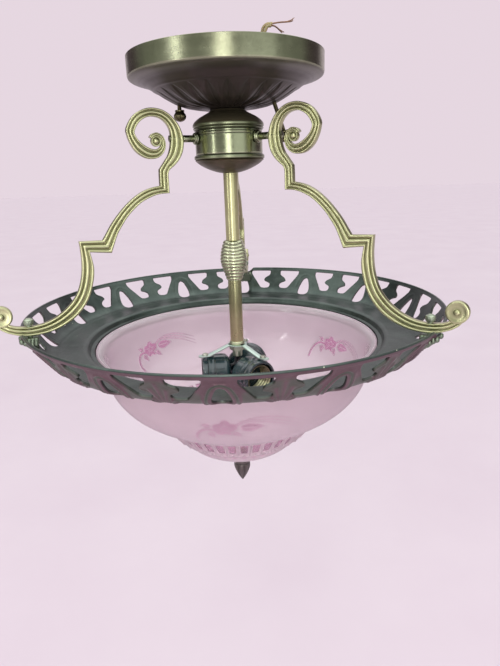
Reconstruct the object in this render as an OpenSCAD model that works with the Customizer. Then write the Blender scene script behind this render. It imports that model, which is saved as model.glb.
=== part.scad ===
// Ceiling lamp with three scrolled arms, a pierced gallery ring and a glass bowl.
// Millimetres. The ceiling is the plane z = 0 and the lamp hangs below it.
// The rear arm points close to +Y, at 92 degrees, the other two at 210 and 330 degrees.

/* [Canopy] */
// Outer radius of the canopy band
canopy_r = 88.6; // [86:0.2:92]
// Height of the straight band
band_h = 16.4; // [14:0.2:17]
// Sheet thickness of canopy and hub shells
sheet_t = 1.2; // [0.8:0.1:1.6]
// Radius of a canopy stud
stud_r = 2; // [1.8:0.05:2.2]
// Slant of the right canopy stud, degrees
stud_tilt = 19; // [10:1:20]
// Radius of a thumb nut
thumb_r = 5.8; // [4.5:0.1:6.5]

/* [Hub and stem] */
// Radius of the hub's straight drum
hub_r = 31.5; // [30:0.5:32]
// Radius of the centre tube
tube_r = 6.8; // [6.4:0.1:7]
// Wall of the centre tube
tube_wall = 1.7; // [1.3:0.1:1.7]
// Radius of an arm stud
arm_stud_r = 3.1; // [2.6:0.1:3.4]
// Number of ridges on the beehive bead
bead_ridges = 12; // [8:1:14]

/* [Arms] */
// Thickness of a flat arm
arm_t = 6; // [5.2:0.2:7]
// Radius of a ring screw's shank
ring_screw_r = 2; // [1.7:0.1:2.2]
// Radius of a ring screw's head
ring_head_r = 4.7; // [4:0.1:5.4]

/* [Gallery ring] */
// Thickness of the ring's metal
ring_t = 2.4; // [1.8:0.1:2.8]
// Number of pierced motifs round the ring
motifs = 14; // [10:1:15]
// Azimuth of the first teardrop opening, degrees
motif_phase = 92.9; // [85:0.05:95]

/* [Glass bowl] */
// Thickness of the glass
glass_t = 3.2; // [2.6:0.1:3.6]
// Radius of the glass rim
glass_rim_r = 142.8; // [141:0.2:143]

/* [Lampholders] */
// Radius of the brass threaded shell's bore
socket_r = 13.4; // [13.2:0.1:13.6]
// Height of the lampholders' axes
holder_z = -304; // [-306:1:-303]

/* [Hidden] */
$fn = 64;

// azimuths of arms and lampholders
arm_left_az = 210;
arm_right_az = 330;
arm_rear_az = 92;
holder_left_az = 193;
holder_front_az = 313;
holder_rear_az = 73;
arm_az = [arm_left_az, arm_right_az, arm_rear_az];
holder_az = [holder_left_az, holder_front_az, holder_rear_az];

// where the studs stand: left one upright, right one through a canopy hole at stud_x
stud_x = 44;
stud_hole_z = -45;
stud_axis_z = -72;
ring_screw_x = 197;
pad_z = -235.8;
leg_turn = 10;
// the canopy's rim stays a little below the ceiling
rim_z = -3;

// smooth curve through points, n steps for each span
function cr(a, b, c, d, t) = 0.5 * ((2 * b) + (c - a) * t + (2 * a - 5 * b + 4 * c - d) * t * t + (3 * b - a - 3 * c + d) * t * t * t);
function smooth(p, n) = concat([for (i = [0:len(p) - 2]) for (j = [0:n - 1]) cr(p[max(i - 1, 0)], p[i], p[i + 1], p[min(i + 2, len(p) - 1)], j / n)], [p[len(p) - 1]]);
function rev(p) = [for (i = [len(p) - 1:-1:0]) p[i]];
function unit(v) = v / norm(v);
// left normal of a line, and of a corner of a path
function lnorm(a, b) = let (d = unit(b - a)) [-d[1], d[0]];
function pnorm(p, i) = i == 0 ? lnorm(p[0], p[1]) : i == len(p) - 1 ? lnorm(p[i - 1], p[i]) : let (a = lnorm(p[i - 1], p[i]), b = lnorm(p[i], p[i + 1])) (a + b) / (1 + a * b);
function off(p, t) = [for (i = [0:len(p) - 1]) p[i] + t * pnorm(p, i)];
// closed wall of thickness t on the left of a path
function wall(p, t) = concat(p, rev(off(p, t)));
function polar(c, r, a) = [c[0] + r * cos(a), c[1] + r * sin(a)];

module at(az) rotate([0, 0, az]) children();
module hex(r, h) cylinder(r = r, h = h, $fn = 6);

// tube swept along a route
function ring_pts(p, t, r, n) = let (u = unit(cross(t, [1, 1, -0.3])), v = cross(t, u)) [for (k = [0:n - 1]) p + r * (cos(360 * k / n) * u + sin(360 * k / n) * v)];
function tangent(p, i) = unit(p[min(i + 1, len(p) - 1)] - p[max(i - 1, 0)]);
module sweep(p, r, n = 8) {
  m = len(p);
  polyhedron(
    points = [for (i = [0:m - 1]) each ring_pts(p[i], tangent(p, i), r, n)],
    faces = concat([[for (k = [0:n - 1]) k]], [for (i = [0:m - 2]) for (k = [0:n - 1]) each [[i * n + k, (i + 1) * n + k, (i + 1) * n + (k + 1) % n], [i * n + k, (i + 1) * n + (k + 1) % n, i * n + (k + 1) % n]]], [[for (k = [n - 1:-1:0]) (m - 1) * n + k]]));
}

// ---- canopy and its fixing ----
canopy_pts = concat([[canopy_r, rim_z], [canopy_r, rim_z - band_h]], smooth([[canopy_r - 0.7, rim_z - band_h - 1.5], [canopy_r - 2.6, rim_z - band_h - 2.7], [80, -23.8], [74, -26], [64.5, -31.4], [55, -37], [46.5, -41.4], [38, -44], [28, -45.6], [17, -46.8]], 3), [[5.3, -46.9]]);

module canopy() color([0.42, 0.41, 0.27]) difference() {
  rotate_extrude() polygon(wall(canopy_pts, -sheet_t));
  translate([-stud_x - 1, 0, -60]) cylinder(r = stud_r + 0.9, h = 40);
  translate([stud_x, 0, stud_hole_z]) rotate([0, -stud_tilt, 0]) translate([0, 0, -12]) cylinder(r = stud_r + 0.9, h = 24);
}

// crossbar with two lowered beds for the studs
bar_top = [[-78, 0], [-63, 0], [-58, -6], [-22, -6], [-17, 0], [17, 0], [22, -6], [58, -6], [63, 0], [78, 0]];
module ceiling_bracket() color([0.62, 0.62, 0.6]) difference() {
  translate([0, 11, 0]) rotate([90, 0, 0]) linear_extrude(22) polygon(concat(bar_top, rev([for (q = bar_top) q + [0, -2.5]])));
  for (s = [-1, 1]) {
    translate([s * 70, 0, -5]) cylinder(r = 2.5, h = 10);
    for (x = [26, 52]) translate([s * x, 0, -15]) cylinder(r = 2.6, h = 15);
    translate([s * 39 - 13, -2.6, -15]) cube([26, 5.2, 15]);
  }
  translate([13.2, 6, -5]) cylinder(r = 1.6, h = 10);
}

module canopy_stud_left() color([0.5, 0.45, 0.3]) translate([-stud_x - 1, 0, -53.6]) cylinder(r = stud_r, h = 52.6);
module on_right_stud() translate([stud_x, 0, stud_hole_z]) rotate([0, -stud_tilt, 0]) children();
module canopy_stud_right() color([0.5, 0.45, 0.3]) on_right_stud() translate([0, 0, -31.6]) cylinder(r = stud_r, h = 76.4);

module stud_nuts() color([0.66, 0.64, 0.58]) {
  translate([-stud_x - 1, 0, -5.9]) nut4(2.6);
  translate([-stud_x - 1, 0, -11.2]) nut4(2.6);
  on_right_stud() translate([0, 0, 34.2]) nut4(2.6);
  on_right_stud() translate([0, 0, 43]) nut4(1.8);
}
module nut4(h) difference() {
  hex(4, h);
  translate([0, 0, -1]) cylinder(r = stud_r + 0.04, h = h + 2);
}

// ball-shaped thumb nut, its mouth at the top
thumb_pts = [[2.05 + 0.45, 0], [thumb_r - 1.6, 0], [thumb_r - 1.2, -1.4], [thumb_r - 0.5, -1.9], [thumb_r, -3.4], [thumb_r, -6.2], [thumb_r - 0.7, -8], [thumb_r - 2.2, -9.6], [thumb_r - 4.2, -10.3], [0, -10.5]];
module thumb_nut() difference() {
  rotate_extrude() polygon(concat([[0, 0]], thumb_pts));
  translate([0, 0, -8.6]) cylinder(r = stud_r + 0.05, h = 10);
}
module thumb_nut_left() color([0.4, 0.34, 0.22]) translate([-stud_x - 1, 0, -45.4]) thumb_nut();
module thumb_nut_right() color([0.4, 0.34, 0.22]) on_right_stud() translate([0, 0, -23.4]) thumb_nut();

module canopy_nipple() color([0.72, 0.62, 0.38]) translate([0, 0, -96]) difference() {
  cylinder(r = 5, h = 59);
  translate([0, 0, -1]) cylinder(r = 3.5, h = 61);
}
module canopy_washer() color([0.66, 0.64, 0.58]) translate([0, 0, -45.6]) difference() {
  cylinder(r = 10.5, h = 1.2);
  translate([0, 0, -1]) cylinder(r = 5.15, h = 4);
}
module canopy_locknut() color([0.66, 0.64, 0.58]) translate([0, 0, -44.3]) difference() {
  hex(8.4, 4);
  translate([0, 0, -1]) cylinder(r = 5.1, h = 6);
}
module terminal_block() color([0.93, 0.92, 0.88]) difference() {
  translate([-9, -7, -15.5]) cube([18, 14, 12.6]);
  for (x = [-4.4, 4.4]) {
    translate([x, -8, -11]) rotate([-90, 0, 0]) cylinder(r = 1.6, h = 16);
    translate([x, 0, -16]) cylinder(r = 1.75, h = 5);
  }
}
module terminal_screws() color([0.76, 0.68, 0.42]) for (x = [-4.4, 4.4]) translate([x, 0, -15.2]) cylinder(r = 1.65, h = 2.4);
module earth_screw() color([0.76, 0.68, 0.42]) translate([13.2, 6, -7.2]) {
  cylinder(r = 1.5, h = 7);
  translate([0, 0, 1.8]) cylinder(r = 3, h = 2.4);
}

// ---- hub ----
hub_cap_pts = concat([[5.3, -47.1], [16.4, -47.1]], smooth([[17.2, -48.6], [21.6, -51], [26.5, -53.5], [30.6, -56.4], [32.9, -59.4], [33.2, -61.4]], 3), [[32.4, -62.4], [32.9, -63.2], [32, -64.8]]);
hub_base_pts = concat([[hub_r + 0.6, -86.6], [hub_r + 1.6, -87.6], [hub_r + 1.6, -90.4]], smooth([[31.6, -92], [28.5, -94.6], [24.4, -97], [19, -99.5], [12.5, -101.7], [tube_r + 0.3, -102.8]], 3));
module hub_cap() color([0.33, 0.33, 0.22]) rotate_extrude() polygon(wall(hub_cap_pts, -sheet_t));
module hub_shell() color([0.5, 0.5, 0.34]) difference() {
  translate([0, 0, -86.4]) cylinder(r = hub_r, h = 21.4);
  translate([0, 0, -87]) cylinder(r = hub_r - sheet_t, h = 23);
  for (a = arm_az) at(a) translate([20, 0, stud_axis_z]) rotate([0, 90, 0]) cylinder(r = arm_stud_r + 0.3, h = 20);
}
module hub_base() color([0.36, 0.34, 0.23]) rotate_extrude() polygon(wall(hub_base_pts, -sheet_t));
module hub_core() color([0.6, 0.6, 0.58]) difference() {
  translate([0, 0, -80]) cylinder(r = 14, h = 14);
  translate([0, 0, -81]) cylinder(r = 5.1, h = 16);
  for (a = arm_az) at(a) translate([6, 0, stud_axis_z]) rotate([0, 90, 0]) cylinder(r = arm_stud_r + 0.05, h = 20);
}
module arm_studs() color([0.62, 0.58, 0.4]) for (a = arm_az) at(a) translate([0, 0, stud_axis_z]) rotate([0, 90, 0]) {
  translate([0, 0, 9]) cylinder(r = arm_stud_r, h = 36);
  translate([0, 0, 44]) cylinder(r = 2, h = 14);
  translate([0, 0, 57.5]) cylinder(r = 3, h = 1.1);
}
module stud_collars() color([0.55, 0.53, 0.36]) for (a = arm_az) at(a) translate([hub_r + 0.1, 0, stud_axis_z]) rotate([0, 90, 0]) difference() {
  rotate_extrude() polygon([[0, 0], [5.6, 0], [5.6, 1.6], [4.6, 3.4], [0, 3.6]]);
  translate([0, 0, -1]) cylinder(r = arm_stud_r + 0.05, h = 8);
}

// ---- arms: both edges of the flat bar, r outwards and z up ----
scroll_c = [70.5, -74];
// [azimuth in the scroll, distance to the bar's middle, bar width]
scroll = [[-185, 6.1, 3.4], [-155, 7, 4], [-125, 8.35, 5.5], [-100, 9.75, 6.9], [-80, 10.95, 8.1], [-60, 12.25, 9.3], [-43, 13.6, 10], [-24, 15.6, 10.4], [-6, 18.3, 9.4], [10, 21.55, 8.1], [24, 24, 7.4], [50, 24.4, 7.3], [76, 24.2, 7], [100, 23.4, 7.2], [120, 22.3, 7.8], [140, 21, 9], [160, 19.9, 10.6], [180, 19.3, 12], [200, 19.4, 12], [218, 20, 11.2], [234, 20.9, 9.8]];
scroll_out = [for (s = scroll) polar(scroll_c, s[1] + s[2] / 2, s[0])];
scroll_in = [for (s = scroll) polar(scroll_c, s[1] - s[2] / 2, s[0])];
edge_a = concat(smooth(concat(scroll_out, [[60.4, -98.8]]), 3), [[61.8, -102.4], [61.9, -118.8]],
  smooth([[70.5, -119.2], [78, -121], [87.5, -125.2], [95.5, -131.2], [102.5, -138], [107.8, -145], [112.5, -152], [116.3, -160.4]], 2), [[119.6, -168.2], [138.4, -166]],
  smooth([[137.2, -173], [136.6, -181], [138.2, -191], [142.6, -204], [149.4, -214.6], [158, -222.8], [168, -229.4], [180, -234], [192, -235.4], [204, -234.6], [215, -230.4], [223.4, -223.8], [228.2, -216.6]], 3));
edge_b = concat(smooth(concat(scroll_in, [[63.6, -90.2], [67.6, -93.6], [69.6, -98]]), 3), [[69.9, -104], [70.1, -112]],
  smooth([[79, -113.6], [87.5, -116.8], [96.2, -122.2], [104.5, -129.2], [111.7, -136.7], [117.5, -143.7], [122, -150.4]], 2), [[126.2, -156.6], [146.7, -156]],
  smooth([[146.3, -164], [146.4, -174], [148.2, -187], [153, -200.4], [161, -210.8], [171.4, -218.8], [183, -223.9], [195, -225.6], [206, -224.4]], 3), [[212, -221.6]]);
module arm_shape() {
  polygon(concat(edge_a, rev(edge_b)));
  translate(scroll_c) circle(r = 7.4);
  translate([218.4, -213.4]) circle(r = 10.6);
}
module arm(az) at(az) difference() {
  translate([0, arm_t / 2, 0]) rotate([90, 0, 0]) linear_extrude(arm_t) arm_shape();
  translate([40, 0, stud_axis_z]) rotate([0, 90, 0]) cylinder(r = 2.1, h = 20);
  translate([ring_screw_x, 0, -240]) cylinder(r = ring_screw_r + 0.06, h = 20);
}
module arm_left() color([0.66, 0.64, 0.4]) arm(arm_left_az);
module arm_right() color([0.66, 0.64, 0.4]) arm(arm_right_az);
module arm_rear() color([0.66, 0.64, 0.4]) arm(arm_rear_az);

// ---- centre tube ----
module stem_tube() color([0.68, 0.56, 0.34]) difference() {
  translate([0, 0, -274]) cylinder(r = tube_r, h = 193);
  translate([0, 0, -275]) cylinder(r = tube_r - tube_wall, h = 195);
}
module stem_flex() color([0.15, 0.15, 0.15]) translate([0, 0, -283]) cylinder(r = 2.8, h = 245);
bead_env = [[9.4, -166.5], [11.1, -171], [12.8, -177], [13.65, -184], [13.5, -188], [12.4, -192.5], [10.5, -198], [8, -206]];
function env(z) = lookup(-z, [for (e = bead_env) [-e[1], e[0]]]);
bead_step = 39.5 / bead_ridges;
bead_pts = [for (i = [0:bead_ridges - 1]) each [[env(-166.5 - i * bead_step) - 1, -166.5 - i * bead_step], [env(-166.5 - (i + 0.25) * bead_step) - 0.1, -166.5 - (i + 0.25) * bead_step], [env(-166.5 - (i + 0.75) * bead_step) - 0.1, -166.5 - (i + 0.75) * bead_step]]];
module spindle_bead() color([0.72, 0.74, 0.55]) rotate_extrude() polygon(concat([[tube_r + 0.1, -166.5]], bead_pts, [[7.3, -206], [tube_r + 0.1, -206]]));
module stem_collar() color([0.7, 0.68, 0.46]) rotate_extrude() polygon([[tube_r + 0.1, -270.6], [7.6, -270.8], [7.9, -271.4], [7.9, -273.4], [7.6, -274], [tube_r + 0.1, -274]]);

// ---- gallery ring ----
ring_pts_top = concat([[203.2, -229.6], [201.2, -232.6]], smooth([[198.4, -237.2], [194.6, -242.6], [190, -248.8], [186, -254], [182, -257.6], [177, -259.6], [170.5, -260.4], [163.5, -260.4], [157.5, -260.2], [153.6, -260]], 2), [[151.6, -260.4], [149.4, -261.4], [147.2, -265.2], [143.6, -265.6], [143.6, -272.6], [137.4, -272.6]]);
// half a period of the pattern, measured on the band
half_arc = 3.14159265 * 190 / motifs;
tear_pts = [[0, -241], [3.2, -244.6], [6.2, -249.4], [7.6, -254], [6.8, -257.4], [3.6, -259.2], [0, -259.6], [-3.6, -259.2], [-6.8, -257.4], [-7.6, -254], [-6.2, -249.4], [-3.2, -244.6]];
leaf_pts = [[6.4, -232.8], [31, -232.8], [31, -235.4], [27.4, -241], [23.5, -249], [20.1, -252.6], [12.1, -253.2], [9.1, -250.8], [13.2, -244.6], [10.6, -240.6], [6.4, -238]];
module pierce(a, p) at(a) translate([178.5, 0, 0]) rotate([90, 0, 90]) linear_extrude(36) polygon(p);
module gallery_ring() color([0.24, 0.26, 0.23]) difference() {
  union() {
    difference() {
      rotate_extrude() polygon(wall(ring_pts_top, ring_t));
      for (k = [0:motifs - 1]) {
        pierce(motif_phase + k * 360 / motifs, tear_pts);
        pierce(motif_phase + (k + 0.5) * 360 / motifs, leaf_pts);
        pierce(motif_phase + (k + 0.5) * 360 / motifs, [for (q = leaf_pts) [-q[0], q[1]]]);
      }
    }
    for (a = arm_az) at(a) translate([0, 7.5, 0]) rotate([90, 0, 0]) linear_extrude(15) polygon([[190.5, pad_z], [206.5, pad_z], [206.5, pad_z - 4], [199.5, pad_z - 12], [191.5, pad_z - 12], [190.5, pad_z - 9]]);
  }
  for (a = arm_az) at(a) {
    translate([188, -arm_t / 2 - 0.3, pad_z]) cube([24, arm_t + 0.6, 10]);
    translate([ring_screw_x, 0, pad_z - 8.5]) cylinder(r = ring_screw_r + 0.06, h = 12);
  }
}
ring_head_pts = [[0, 0], [ring_head_r - 1.1, 0], [ring_head_r - 1.1, 1], [ring_head_r, 1.5], [ring_head_r, 5.8], [ring_head_r - 0.7, 6.8], [ring_head_r - 2.5, 7.4], [0, 7.6]];
module ring_screw(az) at(az) translate([ring_screw_x, 0, -224.5]) {
  rotate_extrude() polygon(ring_head_pts);
  translate([0, 0, -18.6]) cylinder(r = ring_screw_r, h = 19);
}
module ring_screw_left() color([0.55, 0.6, 0.5]) ring_screw(arm_left_az);
module ring_screw_right() color([0.55, 0.6, 0.5]) ring_screw(arm_right_az);
module ring_screw_rear() color([0.55, 0.6, 0.5]) ring_screw(arm_rear_az);

// ---- glass bowl and finial ----
bowl_body = concat(smooth([[136.8, -272.4], [136.8, -280], [135.7, -292], [132.8, -304], [127.4, -314.6], [119.4, -324.6], [107.4, -334.4], [93.6, -342.4], [86.2, -347], [81.8, -351.2], [77, -357.8], [72.2, -364.2], [67.6, -369], [64, -372]], 2), smooth([[62.6, -373.2], [61.4, -375.6], [58.6, -379], [53.2, -383.4], [46, -388], [38, -392.6], [29, -397.4], [20, -402], [12, -405.4], [5.2, -407]], 2));
bowl_in = [for (p = off(bowl_body, -glass_t)) if (p[1] < -279) p];
bowl_flare = [[141.6, -266], [139.8, -266.6], [137.2, -268.2], [135.2, -271], [134.2, -275]];
module glass_bowl() color([0.85, 0.78, 0.8, 0.5]) rotate_extrude() polygon(concat([[glass_rim_r, -266.8], [glass_rim_r, -272.3]], bowl_body, rev(bowl_in), rev(bowl_flare)));
module finial_stud() color([0.72, 0.62, 0.38]) translate([0, 0, -424.5]) cylinder(r = 2.5, h = 31.5);
module finial_nut() color([0.66, 0.64, 0.58]) translate([0, 0, -400.9]) difference() {
  hex(6, 4.4);
  translate([0, 0, -1]) cylinder(r = 2.55, h = 7);
}
module finial_washers() color([0.86, 0.84, 0.78]) for (z = [-408.5, -402.2]) translate([0, 0, z]) difference() {
  cylinder(r = 8, h = 1.2);
  translate([0, 0, -1]) cylinder(r = 2.6, h = 4);
}
finial_pts = [[0, -408.7], [8.8, -408.7], [9.6, -410], [9.7, -412], [8.6, -413.8], [9.1, -416.5], [8.8, -420.4], [7.4, -424.8], [5.4, -429.2], [3.2, -433.2], [1.4, -436.2], [0, -437.2]];
module finial() color([0.3, 0.26, 0.24]) difference() {
  rotate_extrude() polygon(finial_pts);
  translate([0, 0, -425.2]) cylinder(r = 2.56, h = 18);
}

// ---- lampholder cluster ----
module cluster_nipple() color([0.72, 0.62, 0.38]) translate([0, 0, -287]) difference() {
  cylinder(r = 5, h = 26);
  translate([0, 0, -1]) cylinder(r = 3.4, h = 28);
}
leg_pts = [[6, -274.1], [9.5, -274.1], [31.5, -282.6], [39.5, -282.6], [39.5, -284.1], [31, -284.1], [9.2, -275.6], [6, -275.6]];
module cluster_bracket() color([0.6, 0.72, 0.66]) difference() {
  union() {
    translate([0, 0, -275.6]) cylinder(r = 10, h = 1.5);
    for (a = holder_az) at(a + leg_turn) translate([0, 3.2, 0]) rotate([90, 0, 0]) linear_extrude(6.4) polygon(leg_pts);
  }
  translate([0, 0, -280]) cylinder(r = 5.1, h = 10);
  for (a = holder_az) at(a + leg_turn) translate([35, 0, -290]) cylinder(r = 1.6, h = 10);
}
module cluster_nut() color([0.72, 0.7, 0.6]) translate([0, 0, -280.4]) difference() {
  hex(8.2, 4.6);
  translate([0, 0, -1]) cylinder(r = 5.05, h = 7);
}
shell_pts = [[0, 8], [10, 8.2], [15, 9.6], [18, 12], [19, 14.6], [19, 25.6], [19.8, 26], [19.8, 32], [18.8, 32.6], [18.8, 37.4], [18.3, 38], [16.3, 38], [16.3, 12.9], [0, 12.9]];
module lampholder(az) at(az) difference() {
  union() {
    translate([0, 0, holder_z]) rotate([0, 90, 0]) rotate_extrude() polygon(shell_pts);
    at(leg_turn) translate([35, 0, -288.2]) cylinder(r = 3.3, h = 3.9);
  }
  at(leg_turn) translate([35, 0, -288]) cylinder(r = 1.35, h = 6);
}
module lampholder_left() color([0.1, 0.15, 0.16]) lampholder(holder_left_az);
module lampholder_front() color([0.1, 0.15, 0.16]) lampholder(holder_front_az);
module lampholder_rear() color([0.1, 0.15, 0.16]) lampholder(holder_rear_az);
module in_holders() for (a = holder_az) at(a) translate([0, 0, holder_z]) rotate([0, 90, 0]) children();
module holder_inserts() color([0.14, 0.16, 0.17]) in_holders() rotate_extrude() polygon([[0, 13], [16.1, 13], [16.1, 20], [4.8, 20], [4.8, 17.9], [0, 17.9]]);
module screw_shells() color([0.78, 0.66, 0.36]) in_holders() translate([0, 0, 20.1]) difference() {
  cylinder(r = socket_r + 0.6, h = 16.4);
  translate([0, 0, -1]) cylinder(r = socket_r, h = 20);
}
module centre_contacts() color([0.78, 0.66, 0.36]) in_holders() translate([0, 0, 17.95]) rotate_extrude() polygon([[0, 0], [4.4, 0], [4.4, 0.8], [2.6, 1.8], [0, 2]]);
module holder_screws() color([0.78, 0.78, 0.74]) for (a = holder_az) at(a + leg_turn) translate([35, 0, -287.8]) {
  cylinder(r = 1.3, h = 6.3);
  translate([0, 0, 5.3]) rotate_extrude() polygon([[0, 0], [3.1, 0], [3.1, 1.2], [2.2, 2], [0, 2.2]]);
}
// short flex from the nipple's lower end to the back of each lampholder
wire_route = [[1.9, 0.6, -284], [1.9, 0.7, -288], [2.3, 1.1, -291.6], [3.6, 1.8, -294.6], [5.7, 2.3, -296.2], [7.7, 2.4, -296.5]];
module holder_wires() color([0.1, 0.1, 0.11]) for (a = holder_az) at(a) sweep(smooth(wire_route, 2), 1.2);

// ---- supply leads above the canopy ----
lead_a_route = [[4.4, -7.1, -11], [5.6, -13, -11.6], [11, -21, -12.4], [20, -28, -9], [29, -33, -1], [34.6, -35, 6], [36.4, -35, 10.4], [39.4, -34.8, 12.8], [44, -34.4, 13.2]];
lead_b_route = [[-4.4, -7.1, -11], [-3.4, -14, -12], [4, -23.6, -14], [15, -31.4, -12], [26, -36.4, -5], [34.6, -38.2, 2], [38.4, -38.4, 7.6], [40, -38.2, 10.4], [43, -38, 10.6]];
bare_a = [[44.05, -34.4, 13.2], [50, -34, 13.8], [56, -33.6, 14], [60, -33.2, 15], [62.4, -33, 16.8]];
bare_b = [[43.1, -38, 10.6], [44.8, -37.9, 10.7], [47.2, -37.8, 9.6], [50.4, -37.6, 7], [53.6, -37.4, 5]];
module supply_lead_a() color([0.66, 0.62, 0.42]) sweep(smooth(lead_a_route, 2), 1.2);
module supply_lead_b() color([0.66, 0.62, 0.42]) sweep(smooth(lead_b_route, 2), 1.2);
module lead_ends() color([0.5, 0.32, 0.24]) {
  sweep(bare_a, 0.7);
  sweep(bare_b, 0.7);
}

canopy();
ceiling_bracket();
canopy_stud_left();
canopy_stud_right();
stud_nuts();
thumb_nut_left();
thumb_nut_right();
canopy_nipple();
canopy_washer();
canopy_locknut();
hub_cap();
hub_shell();
hub_base();
hub_core();
arm_studs();
stud_collars();
arm_left();
arm_right();
arm_rear();
stem_tube();
stem_flex();
spindle_bead();
stem_collar();
gallery_ring();
ring_screw_left();
ring_screw_right();
ring_screw_rear();
glass_bowl();
finial_stud();
finial_nut();
finial_washers();
finial();
cluster_nipple();
cluster_bracket();
cluster_nut();
lampholder_left();
lampholder_front();
lampholder_rear();
holder_inserts();
screw_shells();
centre_contacts();
holder_screws();
holder_wires();
terminal_block();
terminal_screws();
earth_screw();
supply_lead_a();
supply_lead_b();
lead_ends();
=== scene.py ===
import math
import bmesh
import bpy
import numpy as np
from mathutils import Matrix, Vector


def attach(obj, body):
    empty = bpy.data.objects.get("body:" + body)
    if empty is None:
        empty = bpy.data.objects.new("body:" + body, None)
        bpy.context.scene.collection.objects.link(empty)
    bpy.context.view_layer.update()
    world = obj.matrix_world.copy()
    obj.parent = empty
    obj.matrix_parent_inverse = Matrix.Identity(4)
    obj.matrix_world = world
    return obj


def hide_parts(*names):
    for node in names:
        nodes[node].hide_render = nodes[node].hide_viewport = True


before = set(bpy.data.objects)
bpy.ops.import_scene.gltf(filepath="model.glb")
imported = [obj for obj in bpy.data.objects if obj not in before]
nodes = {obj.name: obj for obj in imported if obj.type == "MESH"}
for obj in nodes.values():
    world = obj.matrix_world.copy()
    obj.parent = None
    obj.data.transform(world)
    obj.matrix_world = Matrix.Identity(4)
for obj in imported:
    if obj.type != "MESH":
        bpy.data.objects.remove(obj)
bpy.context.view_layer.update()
scene = bpy.context.scene
MM = 0.001
ARMS = {"left": 210.0, "right": 330.0, "rear": 92.0}
HOLDERS = {"left": 193.0, "front": 313.0, "rear": 73.0}
LEG_TURN = 10.0


# ------------------------------------------------------------------ camera
def make_camera():
    cam = bpy.data.cameras.new("camera")
    cam.lens = 28.108
    cam.sensor_width = 36.0
    cam.clip_start, cam.clip_end = 0.01, 50.0
    ob = bpy.data.objects.new("camera", cam)
    scene.collection.objects.link(ob)
    to_cam = Matrix.Rotation(-0.033679, 3, "Z") @ Matrix.Rotation(0.29438, 3, "X") @ Matrix(((1, 0, 0), (0, 0, -1), (0, 1, 0)))
    world = Matrix.Rotation(math.radians(5.15), 3, "Z") @ to_cam.transposed() @ Matrix(((1, 0, 0), (0, -1, 0), (0, 0, -1)))
    ob.matrix_world = Matrix.Translation((0.06046, -0.51735, -0.10552)) @ world.to_4x4()
    scene.camera = ob


make_camera()


# ------------------------------------------------------------------ curves and meshes
def cr(pts, n):
    """Smooth curve through points, n steps for each span."""
    p = np.asarray(pts, float)
    out = []
    for i in range(len(p) - 1):
        a, b, c, d = p[max(i - 1, 0)], p[i], p[i + 1], p[min(i + 2, len(p) - 1)]
        for k in range(n):
            t = k / n
            out.append(0.5 * (2 * b + (c - a) * t + (2 * a - 5 * b + 4 * c - d) * t * t + (3 * b - a - 3 * c + d) * t ** 3))
    out.append(p[-1])
    return np.array(out)


def cr_closed(pts, n):
    p = np.asarray(pts, float)
    m = len(p)
    out = []
    for i in range(m):
        a, b, c, d = p[i - 1], p[i], p[(i + 1) % m], p[(i + 2) % m]
        for k in range(n):
            t = k / n
            out.append(0.5 * (2 * b + (c - a) * t + (2 * a - 5 * b + 4 * c - d) * t * t + (3 * b - a - 3 * c + d) * t ** 3))
    return np.array(out)


def arc(p):
    p = np.asarray(p, float)
    return np.r_[0, np.cumsum(np.linalg.norm(np.diff(p, axis=0), axis=1))]


def by_length(p, n):
    """n points, evenly spaced by length."""
    p = np.asarray(p, float)
    s = arc(p)
    t = np.linspace(0, s[-1], n)
    return np.stack([np.interp(t, s, p[:, k]) for k in range(p.shape[1])], 1)


def dense(p, step):
    """Points no further apart than step, with every given point kept."""
    p = np.asarray(p, float)
    out = [p[:1]]
    for a, b in zip(p[:-1], p[1:]):
        m = max(1, int(math.ceil(np.linalg.norm(b - a) / step)))
        t = (np.arange(m) + 1)[:, None] / m
        out.append(a + (b - a) * t)
    return np.concatenate(out)


def normals2(p):
    """Left normals of a path in the plane."""
    d = np.gradient(p, axis=0)
    d /= np.linalg.norm(d, axis=1)[:, None] + 1e-12
    return np.stack([-d[:, 1], d[:, 0]], 1)


def step(x, a, b):
    t = np.clip((x - a) / (b - a), 0, 1)
    return t * t * (3 - 2 * t)


def bump(x, c, w):
    return np.exp(-((x - c) / w) ** 2)


def turn(v, deg):
    a = math.radians(deg)
    v = np.asarray(v, float)
    return np.stack([v[:, 0] * math.cos(a) - v[:, 1] * math.sin(a), v[:, 0] * math.sin(a) + v[:, 1] * math.cos(a), v[:, 2]], 1)


class Piece:
    """Collects closed parts, in millimetres, and makes one object of them."""

    def __init__(self):
        self.v, self.f, self.n = [], [], 0
        self.at = {}

    def add(self, v, f, **attrs):
        v = np.asarray(v, float)
        self.v.append(v)
        self.f += [[int(i) + self.n for i in q] for q in f]
        for k in set(list(self.at) + list(attrs)):
            got = attrs.get(k)
            got = np.zeros(len(v)) if got is None else np.broadcast_to(np.asarray(got, float), (len(v),))
            self.at.setdefault(k, [np.zeros(self.n)]).append(got)
        self.n += len(v)
        return self

    def build(self, name, mat, body="lamp_frame", replaces=(), slot=None, angle=32, matrix=None):
        me = bpy.data.meshes.new(name)
        co = np.concatenate(self.v) * MM
        me.from_pydata(co.tolist(), [], self.f)
        for k, vals in self.at.items():
            a = me.attributes.new(k, "FLOAT", "POINT")
            a.data.foreach_set("value", np.concatenate(vals).astype(np.float32))
        bm = bmesh.new()
        bm.from_mesh(me)
        bmesh.ops.recalc_face_normals(bm, faces=bm.faces)
        bm.to_mesh(me)
        bm.free()
        me.polygons.foreach_set("use_smooth", np.ones(len(me.polygons), bool))
        me.set_sharp_from_angle(angle=math.radians(angle))
        me.materials.append(mat)
        ob = bpy.data.objects.new(name, me)
        scene.collection.objects.link(ob)
        if matrix is not None:
            ob.data.transform(matrix)
        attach(ob, body)
        if replaces:
            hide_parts(*replaces)
        return ob


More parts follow.
